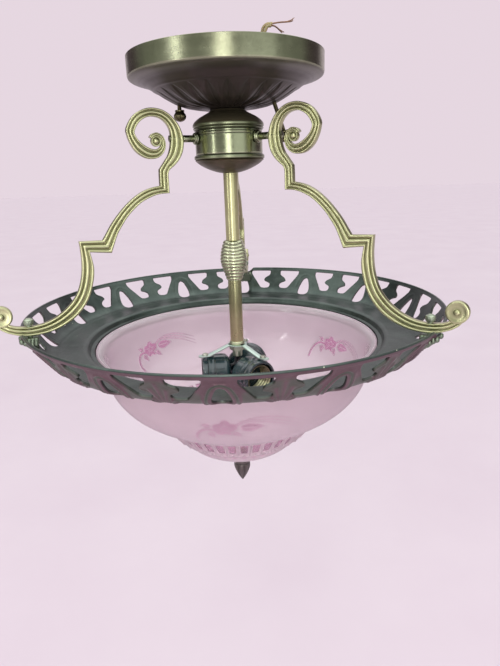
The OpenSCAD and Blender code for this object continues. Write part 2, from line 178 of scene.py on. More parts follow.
def lathe(prof, seg=96, closed=False, warp=None, caps=False):
    """Revolves (r, z) points about Z. warp(v, theta, index) may move them. Ends on the axis become single points."""
    p = np.asarray(prof, float)
    th = np.arange(seg) * 2 * math.pi / seg
    rows, first = [], []
    n = 0
    for i, (r, z) in enumerate(p):
        if r < 1e-6:
            rows.append(np.array([[0, 0, z]]))
            first.append((n, 1))
            n += 1
        else:
            rr = np.full(seg, r)
            zz = np.full(seg, z)
            if warp is not None:
                rr, zz = warp(rr, zz, th, i)
            rows.append(np.stack([rr * np.cos(th), rr * np.sin(th), zz], 1))
            first.append((n, seg))
            n += seg
    f = []
    pairs = list(zip(range(len(p) - 1), range(1, len(p))))
    if closed:
        pairs.append((len(p) - 1, 0))
    for a, b in pairs:
        (ia, na), (ib, nb) = first[a], first[b]
        for k in range(seg):
            k2 = (k + 1) % seg
            if na == 1 and nb == 1:
                continue
            if na == 1:
                f.append([ia, ib + k2, ib + k])
            elif nb == 1:
                f.append([ia + k, ia + k2, ib])
            else:
                f.append([ia + k, ia + k2, ib + k2, ib + k])
    if caps:
        for i in (0, len(p) - 1):
            s, c = first[i]
            if c > 1:
                f.append([s + k for k in range(seg)])
    return np.concatenate(rows), f


def put(v, origin=(0, 0, 0), x=None, z=None):
    """Takes points made about Z and sets them at origin with Z along z."""
    v = np.asarray(v, float)
    zz = np.asarray(z if z is not None else (0, 0, 1), float)
    zz = zz / np.linalg.norm(zz)
    xx = np.asarray(x if x is not None else ((1, 0, 0) if abs(zz[0]) < 0.9 else (0, 1, 0)), float)
    xx = xx - zz * (xx @ zz)
    xx /= np.linalg.norm(xx)
    yy = np.cross(zz, xx)
    return np.asarray(origin, float) + v[:, :1] * xx + v[:, 1:2] * yy + v[:, 2:3] * zz


def tube(path, r, seg=16, caps=True, radii=None):
    """Round tube along a path of 3-D points."""
    p = np.asarray(path, float)
    m = len(p)
    t = np.gradient(p, axis=0)
    t /= np.linalg.norm(t, axis=1)[:, None]
    u = np.cross(t[0], [0.3, 0.5, -0.8])
    u /= np.linalg.norm(u)
    v, f = [], []
    th = np.arange(seg) * 2 * math.pi / seg
    for i in range(m):
        u = u - t[i] * (u @ t[i])
        u /= np.linalg.norm(u)
        w = np.cross(t[i], u)
        rr = r if radii is None else radii[i]
        v.append(p[i] + rr * (np.cos(th)[:, None] * u + np.sin(th)[:, None] * w))
    for i in range(m - 1):
        for k in range(seg):
            k2 = (k + 1) % seg
            f.append([i * seg + k, i * seg + k2, (i + 1) * seg + k2, (i + 1) * seg + k])
    if caps:
        f.append([k for k in range(seg)][::-1])
        f.append([(m - 1) * seg + k for k in range(seg)])
    return np.concatenate(v), f


def hexnut(rc, h, bore, seg=72, dome=0.0):
    """Hexagon nut with chamfered corners, its foot at z = 0."""
    th = np.arange(seg) * 2 * math.pi / seg
    rh = rc * math.cos(math.pi / 6) / np.cos((th % (math.pi / 3)) - math.pi / 6)
    rin = rc * 0.885
    ch = np.clip(rh - rin, 0, None) * 0.6
    ring = lambda r, z: np.stack([r * np.cos(th), r * np.sin(th), z + 0 * th], 1)
    rows = [ring(bore + 0.25, 0.0), ring(np.minimum(rh, rin), 0.0), ring(rh, ch), ring(rh, h - ch), ring(np.minimum(rh, rin), h), ring(bore + 0.25, h), ring(bore, h - 0.3), ring(bore, 0.3)]
    v = np.concatenate(rows)
    f = []
    m = len(rows)
    for i in range(m):
        j = (i + 1) % m
        for k in range(seg):
            k2 = (k + 1) % seg
            f.append([i * seg + k, i * seg + k2, j * seg + k2, j * seg + k])
    return v, f


def threaded_rod(r, length, pitch=0.8, depth=0.28, seg=20):
    """Rod with a screw thread, from z = 0 up."""
    n = max(4, int(length / pitch * 5))
    z = np.linspace(0, length, n)
    th = np.arange(seg) * 2 * math.pi / seg
    v = [np.array([[0, 0, 0]])]
    for zi in z:
        ph = (zi / pitch - th / (2 * math.pi)) % 1
        rr = r - depth * np.abs(2 * ph - 1)
        edge = min(1.0, min(zi, length - zi) / (pitch * 0.6) + 0.0)
        rr = np.minimum(rr, r - depth * (1 - edge) * 1.2)
        v.append(np.stack([rr * np.cos(th), rr * np.sin(th), 0 * th + zi], 1))
    v.append(np.array([[0, 0, length]]))
    v = np.concatenate(v)
    f = []
    for k in range(seg):
        f.append([0, 1 + (k + 1) % seg, 1 + k])
        last = 1 + (n - 1) * seg
        f.append([last + k, last + (k + 1) % seg, last + seg])
    for i in range(n - 1):
        for k in range(seg):
            a = 1 + i * seg
            f.append([a + k, a + (k + 1) % seg, a + seg + (k + 1) % seg, a + seg + k])
    return v, f


def prism(poly, y0, y1, bevel=0.0):
    """Polygon in (x, z) pushed along y, with its long edges rounded."""
    p = np.asarray(poly, float)
    if ((p[:, 0] * np.roll(p[:, 1], -1)) - (np.roll(p[:, 0], -1) * p[:, 1])).sum() < 0:
        p = p[::-1]
    m = len(p)
    if bevel > 0:
        a = p - np.roll(p, 1, 0)
        b = np.roll(p, -1, 0) - p
        na = np.stack([-a[:, 1], a[:, 0]], 1) / (np.linalg.norm(a, axis=1)[:, None] + 1e-9)
        nb = np.stack([-b[:, 1], b[:, 0]], 1) / (np.linalg.norm(b, axis=1)[:, None] + 1e-9)
        mit = (na + nb) / (1 + (na * nb).sum(1))[:, None]
        rows = []
        for k in range(4):
            g = k / 3 * math.pi / 2
            rows.append((y0 + bevel * (1 - math.sin(g)), bevel * (1 - math.cos(g))))
        rows = rows[::-1]
        rows += [(y1 - (y - y0), d) for y, d in rows[::-1]]
        rings = [np.stack([(p + mit * d)[:, 0], np.full(m, y), (p + mit * d)[:, 1]], 1) for y, d in rows]
    else:
        rings = [np.stack([p[:, 0], np.full(m, y), p[:, 1]], 1) for y in (y0, y1)]
    v = np.concatenate(rings)
    f = []
    for i in range(len(rings) - 1):
        for k in range(m):
            f.append([i * m + k, i * m + (k + 1) % m, (i + 1) * m + (k + 1) % m, (i + 1) * m + k])
    f.append([k for k in range(m)])
    f.append([(len(rings) - 1) * m + k for k in range(m)])
    return v, f


def box(lo, hi, bevel=0.4):
    """Box with rounded long edges."""
    return prism([[lo[0], lo[2]], [hi[0], lo[2]], [hi[0], hi[2]], [lo[0], hi[2]]], lo[1], hi[1], bevel)


# ------------------------------------------------------------------ materials
def lin(c):
    return tuple(((x / 255) / 12.92) if x / 255 <= 0.04045 else (((x / 255) + 0.055) / 1.055) ** 2.4 for x in c) + (1.0,)


class Mat:
    def __init__(self, name):
        self.m = bpy.data.materials.new(name)
        self.m.use_nodes = True
        self.t = self.m.node_tree
        self.t.nodes.clear()
        self.out = self.t.nodes.new("ShaderNodeOutputMaterial")
        self.b = self.t.nodes.new("ShaderNodeBsdfPrincipled")
        self.link(self.b.outputs[0], self.out.inputs[0])
        self.tc = self.t.nodes.new("ShaderNodeTexCoord")

    def link(self, a, b):
        self.t.links.new(a, b)

    def new(self, kind, **kw):
        n = self.t.nodes.new(kind)
        for k, v in kw.items():
            setattr(n, k, v)
        return n

    def noise(self, scale, detail=4, rough=0.55, vector=None, dist=0.0):
        n = self.new("ShaderNodeTexNoise")
        n.inputs["Scale"].default_value = scale
        n.inputs["Detail"].default_value = detail
        n.inputs["Roughness"].default_value = rough
        n.inputs["Distortion"].default_value = dist
        self.link(vector if vector is not None else self.tc.outputs["Object"], n.inputs["Vector"])
        return n.outputs[0]

    def voronoi(self, scale, vector=None):
        n = self.new("ShaderNodeTexVoronoi")
        n.inputs["Scale"].default_value = scale
        self.link(vector if vector is not None else self.tc.outputs["Object"], n.inputs["Vector"])
        return n.outputs["Distance"]

    def math(self, op, a, b=None, clamp=False):
        n = self.new("ShaderNodeMath", operation=op, use_clamp=clamp)
        for i, x in enumerate((a, b)):
            if x is None:
                continue
            if isinstance(x, (int, float)):
                n.inputs[i].default_value = x
            else:
                self.link(x, n.inputs[i])
        return n.outputs[0]

    def span(self, x, a, b, c=0.0, d=1.0):
        n = self.new("ShaderNodeMapRange", clamp=True)
        n.inputs["From Min"].default_value = a
        n.inputs["From Max"].default_value = b
        n.inputs["To Min"].default_value = c
        n.inputs["To Max"].default_value = d
        self.link(x, n.inputs["Value"])
        return n.outputs[0]

    def mix(self, fac, a, b):
        n = self.new("ShaderNodeMix", data_type="RGBA")
        if isinstance(fac, (int, float)):
            n.inputs[0].default_value = fac
        else:
            self.link(fac, n.inputs[0])
        for i, x in ((6, a), (7, b)):
            if isinstance(x, tuple):
                n.inputs[i].default_value = x
            else:
                self.link(x, n.inputs[i])
        return n.outputs[2]

    def attr(self, name):
        n = self.new("ShaderNodeAttribute", attribute_name=name)
        return n.outputs["Fac"]

    def bumps(self, pairs):
        """Chain of bumps: (height socket, strength, distance in metres)."""
        last = None
        for h, s, d in pairs:
            n = self.new("ShaderNodeBump")
            n.inputs["Strength"].default_value = s
            n.inputs["Distance"].default_value = d
            self.link(h, n.inputs["Height"])
            if last is not None:
                self.link(last, n.inputs["Normal"])
            last = n.outputs[0]
        self.link(last, self.b.inputs["Normal"])

    def radial(self):
        """(distance from the axis, 0, height): rings for turned and spun metal."""
        sep = self.new("ShaderNodeSeparateXYZ")
        self.link(self.tc.outputs["Object"], sep.inputs[0])
        r = self.math("SQRT", self.math("ADD", self.math("MULTIPLY", sep.outputs[0], sep.outputs[0]), self.math("MULTIPLY", sep.outputs[1], sep.outputs[1])))
        com = self.new("ShaderNodeCombineXYZ")
        self.link(r, com.inputs[0])
        self.link(sep.outputs[2], com.inputs[2])
        return com.outputs[0]


def metal(name, base, dark, light=None, dusk=(74, 60, 56), lite=(176, 190, 160), rough=(0.25, 0.45), scale=60.0, tarnish=(0.45, 0.72), cav=0.85, spun=0.0, spot=0.0, bump=0.25, metallic=1.0, spots_col=(205, 210, 190), pits=0.0, turned=900):
    m = Mat(name)
    base, dark = lin(base), lin(dark)
    big = m.noise(scale * 0.35, 5, 0.6, dist=0.6)
    mid = m.noise(scale * 1.6, 6, 0.65)
    fine = m.noise(scale * 14, 3, 0.6)
    c = m.mix(m.span(big, tarnish[0], tarnish[1], 0, 0.75), base, dark)
    if light is not None:
        c = m.mix(m.span(mid, 0.5, 0.75, 0, 0.6), c, lin(light))
    c = m.mix(m.span(fine, 0.55, 0.8, 0, 0.22), c, dark)
    # painted shade and tint: faces marked by this attribute take the second colour and become rougher and less
    # metallic; it is a painted shade on downward and hidden faces and a painted reflection tint on the ring's outer
    # face
    c = m.mix(m.attr("dusk"), c, m.mix(m.span(mid, 0.4, 0.7), lin(dusk), tuple(x * 0.7 for x in lin(dusk)[:3]) + (1.0,)))
    # painted highlight: faces marked by this attribute take the pale highlight colour
    c = m.mix(m.attr("lite"), c, lin(lite))
    # painted shade: faces marked by this attribute are darkened toward a deep shade of the dark colour, in grooves,
    # recesses and places under or inside other parts
    if cav:
        c = m.mix(m.math("MULTIPLY", m.attr("cav"), cav, True), c, tuple(x * 0.32 for x in dark[:3]) + (1.0,))
    pairs = [(mid, bump * 0.5, 0.0004), (fine, bump, 0.00012)]
    rr = m.span(m.math("ADD", m.math("MULTIPLY", mid, 0.6), m.math("MULTIPLY", fine, 0.4)), 0.3, 0.7, rough[0], rough[1])
    if spun:
        lines = m.noise(turned, 2, 0.5, vector=m.radial())
        pairs.append((lines, spun, 0.00006))
        rr = m.math("ADD", rr, m.span(lines, 0.35, 0.65, -0.02, 0.03))
    if pits:
        pit = m.span(m.voronoi(scale * 9), 0.0, 0.22, 0, 1)
        pairs.append((pit, pits, 0.0002))
    if spot:
        v = m.voronoi(scale * 2.2)
        gate = m.span(m.noise(scale * 0.8, 2), 0.56, 0.59)
        dot = m.math("MULTIPLY", m.span(v, 0.06, 0.045), gate)
        c = m.mix(m.math("MULTIPLY", dot, spot), c, lin(spots_col))
        rr = m.math("ADD", rr, m.math("MULTIPLY", dot, 0.3))
    m.link(c, m.b.inputs["Base Color"])
    rr = m.math("ADD", rr, m.math("MULTIPLY", m.attr("dusk"), 0.12))
    m.link(rr, m.b.inputs["Roughness"])
    m.link(m.span(m.attr("dusk"), 0.0, 1.0, metallic, metallic - 0.5), m.b.inputs["Metallic"])
    m.bumps(pairs)
    return m.m


def plastic(name, base, dark, rough=(0.3, 0.5), scale=80.0, bump=0.15, coat=0.0, sub=0.0):
    m = Mat(name)
    a = m.noise(scale, 5)
    f = m.noise(scale * 16, 2)
    c = m.mix(m.span(a, 0.4, 0.7), lin(base), lin(dark))
    # painted shade: marked faces darkened toward a deep shade of the dark colour
    c = m.mix(m.math("MULTIPLY", m.attr("cav"), 0.8, True), c, tuple(x * 0.4 for x in lin(dark)[:3]) + (1.0,))
    m.link(c, m.b.inputs["Base Color"])
    m.link(m.span(a, 0.3, 0.7, rough[0], rough[1]), m.b.inputs["Roughness"])
    m.b.inputs["Coat Weight"].default_value = coat
    m.b.inputs["Coat Roughness"].default_value = 0.12
    m.b.inputs["Subsurface Weight"].default_value = sub
    m.bumps([(a, bump, 0.0003), (f, bump, 0.00008)])
    return m.m


M = {
    # canopy: the dark brown (55, 46, 43) is the painted shade of the underside
    "canopy_brass": metal("antique_brass_spun", (146, 149, 124), (82, 81, 66), (160, 163, 138), dusk=(55, 46, 43), rough=(0.2, 0.27), scale=26, spun=0.05, turned=240, spot=0.95, cav=0.8, bump=0.05),
    "drum_brass": metal("antique_brass_polished", (144, 149, 122), (96, 98, 80), (158, 163, 136), rough=(0.18, 0.26), scale=34, tarnish=(0.5, 0.9), spun=0.1, turned=420, cav=0.85, bump=0.03),
    # dark brass: (88, 80, 66) is the painted shade tint and (146, 158, 132) the painted highlight
    "dark_brass": metal("antique_brass_dark", (104, 98, 74), (54, 50, 38), (122, 118, 90), dusk=(88, 80, 66), lite=(146, 158, 132), rough=(0.27, 0.38), scale=50, spun=0.12, turned=420, cav=0.8, bump=0.06),
    "arm_gilt": metal("gilt_olive", (182, 183, 142), (136, 133, 100), (200, 201, 160), rough=(0.27, 0.36), scale=60, tarnish=(0.52, 0.85), cav=0.40, bump=0.02),
    # ring bronze: (98, 74, 82) is a painted reflection tint of a magenta surround and (126, 138, 118) a green painted
    # highlight
    "ring_bronze": metal("bronze_patina", (84, 95, 90), (46, 54, 52), (104, 115, 109), dusk=(98, 74, 82), lite=(126, 138, 118), rough=(0.3, 0.46), scale=44, cav=0.75, spot=1.0, bump=0.35, pits=0.12),
    "screw_green": metal("verdigris_metal", (176, 188, 166), (96, 108, 92), (200, 212, 190), rough=(0.32, 0.5), scale=120, cav=0.85, bump=0.3),
    "tube_brass": metal("tube_brass", (180, 178, 136), (138, 134, 100), (196, 196, 154), rough=(0.25, 0.33), scale=36, tarnish=(0.58, 0.9), spun=0.0, cav=0.8, bump=0.018),
    "pale_brass": metal("pale_brass", (200, 205, 172), (134, 137, 108), (216, 220, 190), rough=(0.24, 0.34), scale=60, cav=0.42, bump=0.03),
    "plain_brass": metal("plain_brass", (186, 176, 112), (112, 100, 56), (206, 196, 132), rough=(0.25, 0.4), scale=90, cav=0.9, bump=0.12),
    "bud_bronze": metal("bud_bronze", (104, 97, 92), (54, 48, 48), (126, 119, 114), dusk=(92, 82, 84), rough=(0.22, 0.36), scale=80, cav=0.85, bump=0.12),
    "shell_brass": metal("shell_brass", (172, 172, 138), (104, 102, 78), (200, 200, 160), rough=(0.22, 0.36), scale=90, cav=0.8, bump=0.08),
    "plain_steel": metal("plain_steel", (176, 176, 166), (104, 102, 92), (200, 200, 190), rough=(0.28, 0.42), scale=70, cav=0.85, bump=0.15),
    "zinc": metal("zinc_plate", (198, 220, 208), (140, 160, 150), (220, 236, 226), rough=(0.3, 0.42), scale=60, tarnish=(0.5, 0.85), cav=0.7, bump=0.15),
    "copper_strand": metal("copper_strand", (140, 108, 86), (88, 64, 48), (164, 130, 104), rough=(0.35, 0.5), scale=200, cav=0.0, bump=0.2),
    "holder_black": plastic("moulded_black", (40, 60, 64), (24, 38, 42), rough=(0.14, 0.28), coat=0.7, scale=60),
    "wire_black": plastic("wire_sheath", (34, 34, 38), (20, 20, 22), rough=(0.3, 0.45), coat=0.2),
    "lead_sheath": plastic("yellowed_sheath", (160, 150, 104), (128, 116, 76), rough=(0.3, 0.45), scale=120, coat=0.3, sub=0.1),
    "washer_fibre": plastic("soft_fibre", (222, 216, 200), (190, 182, 164), rough=(0.6, 0.8), scale=200, bump=0.4),
    "block_white": plastic("moulded_white", (236, 232, 222), (214, 208, 196), rough=(0.35, 0.5), scale=50),
}


def glass_material():
    m = Mat("frosted_glass")
    clear = m.attr("clear")
    inner = m.attr("inner")
    cloud = m.noise(9, 4)
    fine = m.noise(2600, 2)
    seeds = m.span(m.voronoi(420), 0.03, 0.10, 1.0, 0.0)
    # frosted glass colour: its pink cast is a painted reflection of a pink surround; the inner faces get a lighter
    # copy, painted light from above, and the clear etched areas a deeper pink painted reflection
    frost = m.mix(m.span(cloud, 0.35, 0.65), lin((224, 205, 214)), lin((211, 192, 202)))
    frost = m.mix(inner, frost, m.mix(m.span(cloud, 0.35, 0.65), lin((250, 236, 244)), lin((244, 228, 237))))
    c = m.mix(clear, frost, lin((206, 152, 182)))
    m.link(c, m.b.inputs["Base Color"])
    outer_rough = m.span(clear, 0.0, 1.0, 0.55, 0.10)
    m.link(m.math("MULTIPLY", outer_rough, m.span(inner, 0.0, 1.0, 1.0, 0.17)), m.b.inputs["Roughness"])
    m.link(m.span(clear, 0.0, 1.0, 0.56, 0.98), m.b.inputs["Transmission Weight"])
    m.b.inputs["IOR"].default_value = 1.45
    m.bumps([(fine, 0.08, 0.00005), (seeds, 0.12, 0.0001), (clear, 0.35, 0.0006)])
    return m.m


M["glass_frosted"] = glass_material()


# ------------------------------------------------------------------ supply leads
LEAD_A = [[4.4, -7.1, -11], [5.6, -13, -11.6], [11, -21, -12.4], [20, -28, -9], [29, -33, -1], [34.6, -35, 6], [36.4, -35, 10.4], [39.4, -34.8, 12.8], [44, -34.4, 13.2]]
LEAD_B = [[-4.4, -7.1, -11], [-3.4, -14, -12], [4, -23.6, -14], [15, -31.4, -12], [26, -36.4, -5], [34.6, -38.2, 2], [38.4, -38.4, 7.6], [40, -38.2, 10.4], [43, -38, 10.6]]
BARE_A = [[44.05, -34.4, 13.2], [50, -34, 13.8], [56, -33.6, 14], [60, -33.2, 15], [62.4, -33, 16.8]]
BARE_B = [[43.1, -38, 10.6], [44.8, -37.9, 10.7], [47.2, -37.8, 9.6], [50.4, -37.6, 7], [53.6, -37.4, 5]]


def strands(name, route, replaces=()):
    """Twisted bare strands that spread a little at their tips."""
    rng = np.random.default_rng(7 + len(route))
    base = by_length(cr(route, 6), 60)
    t = np.gradient(base, axis=0)
    t /= np.linalg.norm(t, axis=1)[:, None]
    u = np.cross(t, [0, 0.2, 1.0])
    u /= np.linalg.norm(u, axis=1)[:, None]
    w = np.cross(t, u)
    s = np.linspace(0, 1, len(base))
    pc = Piece()
    for k in range(7):
        ph = 2 * math.pi * k / 6
        rad = 0.0 if k == 6 else 0.42
        spread = 1 + 2.0 * step(s, 0.55, 1.0) * rng.uniform(0.3, 1.0)
        a = ph + 9.0 * s * (1 - 0.3 * s) + 0.25 * np.sin(s * 9 + k)
        p = base + (rad * spread)[:, None] * (np.cos(a)[:, None] * u + np.sin(a)[:, None] * w)
        end = int(len(base) * rng.uniform(0.86, 1.0))
        pc.add(*tube(p[:end], 0.19, 8))
    return pc.build(name, M["copper_strand"], replaces=replaces, slot="copper_strand")


def lead(name, node, route):
    p = cr(route, 4)
    cu = bpy.data.curves.new(name, "CURVE")
    cu.dimensions = "3D"
    cu.bevel_depth = 1.2 * MM
    cu.bevel_resolution = 6
    cu.use_fill_caps = True
    sp = cu.splines.new("POLY")
    sp.points.add(len(p) - 1)
    for q, c in zip(sp.points, p):
        q.co = (*(c * MM), 1)
    sp.use_smooth = True
    cu.materials.append(M["lead_sheath"])
    ob = bpy.data.objects.new(name, cu)
    scene.collection.objects.link(ob)
    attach(ob, "lamp_frame")
    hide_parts(node)
    float(arc(p)[-1]) * MM


strand_a = strands("lead_strands_a", BARE_A, ["lead_ends"])
strand_b = strands("lead_strands_b", BARE_B)
lead("supply_lead_a_sheath", "supply_lead_a", LEAD_A)
lead("supply_lead_b_sheath", "supply_lead_b", LEAD_B)


# ------------------------------------------------------------------ canopy
def canopy():
    outer = np.concatenate([[[88.6, -3.5], [88.2, -3.1]][::-1], [[88.6, -19.2], [88.4, -19.8]], cr([[87.9, -20.9], [86, -22.1], [80, -23.8], [74, -26], [64.5, -31.4], [55, -37], [46.5, -41.4], [38, -44], [28, -45.6], [17, -46.8]], 4), [[5.3, -46.9]]])
    o = dense(outer, 1.3)
    n = normals2(o)
    i_ = o - n * 1.2
    i_[:3, 1] = np.minimum(i_[:3, 1], -3.1)
    seg = 480
    th = np.arange(seg) * 2 * math.pi / seg
    cnt = 24
    ph = (th * cnt / (2 * math.pi)) % 1 - 0.5

    def relief(r):
        r = np.asarray(r)[:, None]
        e = np.clip(1 - ((r - 42.5) / 22.5) ** 2, 0, 1) ** 0.5
        w = 0.36 * e ** 1.6 + 1e-3
        x = ph[None, :] / w
        groove = np.where(np.abs(x) < 1, (1 - x ** 2) ** 0.8, 0) * (e > 0.02)
        rib = bump(np.abs(ph)[None, :], 0.5, 0.07) * step(r, 21, 29) * (1 - step(r, 58, 64))
        vein = bump(ph[None, :], 0, 0.035) * step(e, 0.3, 0.7)
        lip = bump(r, 67.4, 0.9) * 0.4
        return -0.95 * groove * np.minimum(1, e * 1.6) + 0.22 * rib + 0.3 * vein * (e > 0.3) + lip, groove

    below = (o[:, 1] < -20.4).astype(float)[:, None]
    d, groove = relief(o[:, 0])
    d = d * below

    def surf(p, nn, dd):
        q = p[:, None, :] + nn[:, None, :] * dd[:, :, None]
        return np.stack([q[..., 0] * np.cos(th), q[..., 0] * np.sin(th), q[..., 1]], -1)

    A, Bs = surf(o, n, d), surf(i_, n, d)
    v = np.concatenate([A.reshape(-1, 3), Bs[::-1].reshape(-1, 3)])
    rows = 2 * len(o)
    a = np.arange(rows)
    b = np.roll(a, -1)
    k = np.arange(seg)
    k2 = (k + 1) % seg
    f = np.stack([(a[:, None] * seg + k), (a[:, None] * seg + k2), (b[:, None] * seg + k2), (b[:, None] * seg + k)], -1).reshape(-1, 4)
    # painted shade: the flute grooves are darkened; everything below the band takes the dark brown shade tint as
    # painted shade on the underside, a little less near the rim; the inside faces get a light painted shade and half
    # the tint
    edge = np.clip(groove * 1.0 * below, 0, 1) * 0.55
    dusk = (0.96 * step(-o[:, 1], 20.0, 20.8) * (1 - 0.2 * step(o[:, 0], 76, 86)))[:, None] + 0 * edge
    pc = Piece().add(v, f.tolist(), cav=np.concatenate([edge.ravel(), np.full(len(o) * seg, 0.2)]), dusk=np.concatenate([dusk.ravel(), np.full(len(o) * seg, 0.5)]))
    pc.build("canopy_spun", M["canopy_brass"], replaces=["canopy"], slot="canopy_brass", angle=40)


canopy()


def bracket():
    """Crossbar bent from strip, with two lowered beds, slots and screw holes."""
    top = [[-78, 0], [-63, 0], [-58, -6], [-22, -6], [-17, 0], [17, 0], [22, -6], [58, -6], [63, 0], [78, 0]]
    poly = top + [[x, z - 2.5] for x, z in top][::-1]
    pc = Piece().add(*prism(poly, -11, 11, 0.5))
    ob = pc.build("crossbar_strip", M["plain_steel"], replaces=["ceiling_bracket"], slot="plain_steel", angle=30)
    cut = Piece()
    for s in (-1, 1):
        p = [[s * 70 + 2.5 * math.cos(a), 2.5 * math.sin(a)] for a in np.linspace(0, 2 * math.pi, 33)[:-1]]
        cut.add(*prism(p, -14, 6))
        sl = [[s * 39 + sg * 13 + 2.6 * math.cos(a), 2.6 * math.sin(a)] for sg, a0 in ((1, -math.pi / 2), (-1, math.pi / 2)) for a in np.linspace(a0, a0 + math.pi, 17)]
        cut.add(*prism(sl, -14, 6))
    for part in range(len(cut.v)):
        cut.v[part] = cut.v[part][:, [0, 2, 1]]
    me = bpy.data.meshes.new("cut")
    me.from_pydata((np.concatenate(cut.v) * MM).tolist(), [], cut.f)
    bm = bmesh.new()
    bm.from_mesh(me)
    bmesh.ops.recalc_face_normals(bm, faces=bm.faces)
    bm.to_mesh(me)
    bm.free()
    co = bpy.data.objects.new("cut", me)
    scene.collection.objects.link(co)
    md = ob.modifiers.new("holes", "BOOLEAN")
    md.operation, md.object, md.solver = "DIFFERENCE", co, "EXACT"
    bpy.context.view_layer.update()
    dg = bpy.context.evaluated_depsgraph_get()
    new = bpy.data.meshes.new_from_object(ob.evaluated_get(dg), depsgraph=dg)
    ob.modifiers.clear()
    ob.data = new
    new.polygons.foreach_set("use_smooth", np.ones(len(new.polygons), bool))
    new.set_sharp_from_angle(angle=math.radians(30))
    bpy.data.objects.remove(co)


bracket()

RS = np.array([44.0, 0, -45.0])
RD = np.array([-math.sin(math.radians(19)), 0, math.cos(math.radians(19))])


def studs():
    pc = Piece()
    v, f = threaded_rod(2.0, 52.6)
    pc.add(v + np.array([-45, 0, -53.6]), f)
    pc.build("stud_left_thread", M["dark_brass"], replaces=["canopy_stud_left"], slot="drum_brass", angle=50)
    pc = Piece()
    v, f = threaded_rod(2.0, 76.4)
    pc.add(put(v, RS - RD * 31.6, z=RD), f)
    pc.build("stud_right_thread", M["dark_brass"], replaces=["canopy_stud_right"], slot="drum_brass", angle=50)
    pc = Piece()
    for z, h in ((-5.9, 2.6), (-11.2, 2.6)):
        v, f = hexnut(4, h, 2.04)
        pc.add(v + np.array([-45, 0, z]), f)
    for s, h in ((34.2, 2.6), (43, 1.8)):
        v, f = hexnut(4, h, 2.04)
        pc.add(put(v, RS + RD * s, z=RD), f)
    pc.build("stud_hexnuts", M["plain_steel"], replaces=["stud_nuts"], slot="plain_steel", angle=30)


studs()


def knob(r=5.8):
    """Round thumb nut: a neck with a collar over a knurled ball, its mouth at z = 0."""
    prof = [[2.05, -8.4], [2.05, -0.3], [2.4, 0], [r - 1.9, 0], [r - 1.4, -0.4], [r - 1.4, -1.3], [r - 1.9, -1.8], [r - 1.2, -2.3]]
    prof += [[r * math.cos(a) if a < 1.3 else r * math.cos(a), -5.6 + 0 * a - 4.6 * math.sin(a)] for a in np.linspace(-0.78, 1.42, 16)]
    prof += [[0, -10.4]]
    prof = [[0, -8.4]] + prof

    def warp(rr, zz, th, i):
        if 8 < i < len(prof) - 3:
            t = (i - 9) / (len(prof) - 13)
            rr = rr * (1 - 0.045 * (0.5 + 0.5 * np.cos(28 * th)) * math.sin(math.pi * min(1, max(0, t))) ** 0.5)
        return rr, zz

    return lathe(prof, 112, warp=warp)


def thumb_nuts():
    v, f = knob()
    Piece().add(v + np.array([-45, 0, -45.4]), f).build("thumb_knob_left", M["dark_brass"], "thumb_nut_left", ["thumb_nut_left"], "dark_brass")
    Piece().add(put(v, RS - RD * 23.4, z=RD), f).build("thumb_knob_right", M["dark_brass"], "thumb_nut_right", ["thumb_nut_right"], "dark_brass")


thumb_nuts()


# ------------------------------------------------------------------ hub
def sheet(prof, t):
    """Closed ring of sheet metal: the outer path and its inner offset."""
    p = np.asarray(prof, float)
    return np.concatenate([p, (p - normals2(p) * t)[::-1]])


# lathe with painted shade in narrow bands at the given heights, for grooves
def with_painted_shade(prof, seg, zs, width, **kw):
    v, f = lathe(prof, seg, **kw)
    cav = np.zeros(len(v))
    for z in zs:
        cav = np.maximum(cav, bump(v[:, 2], z, width))
    return v, f, cav


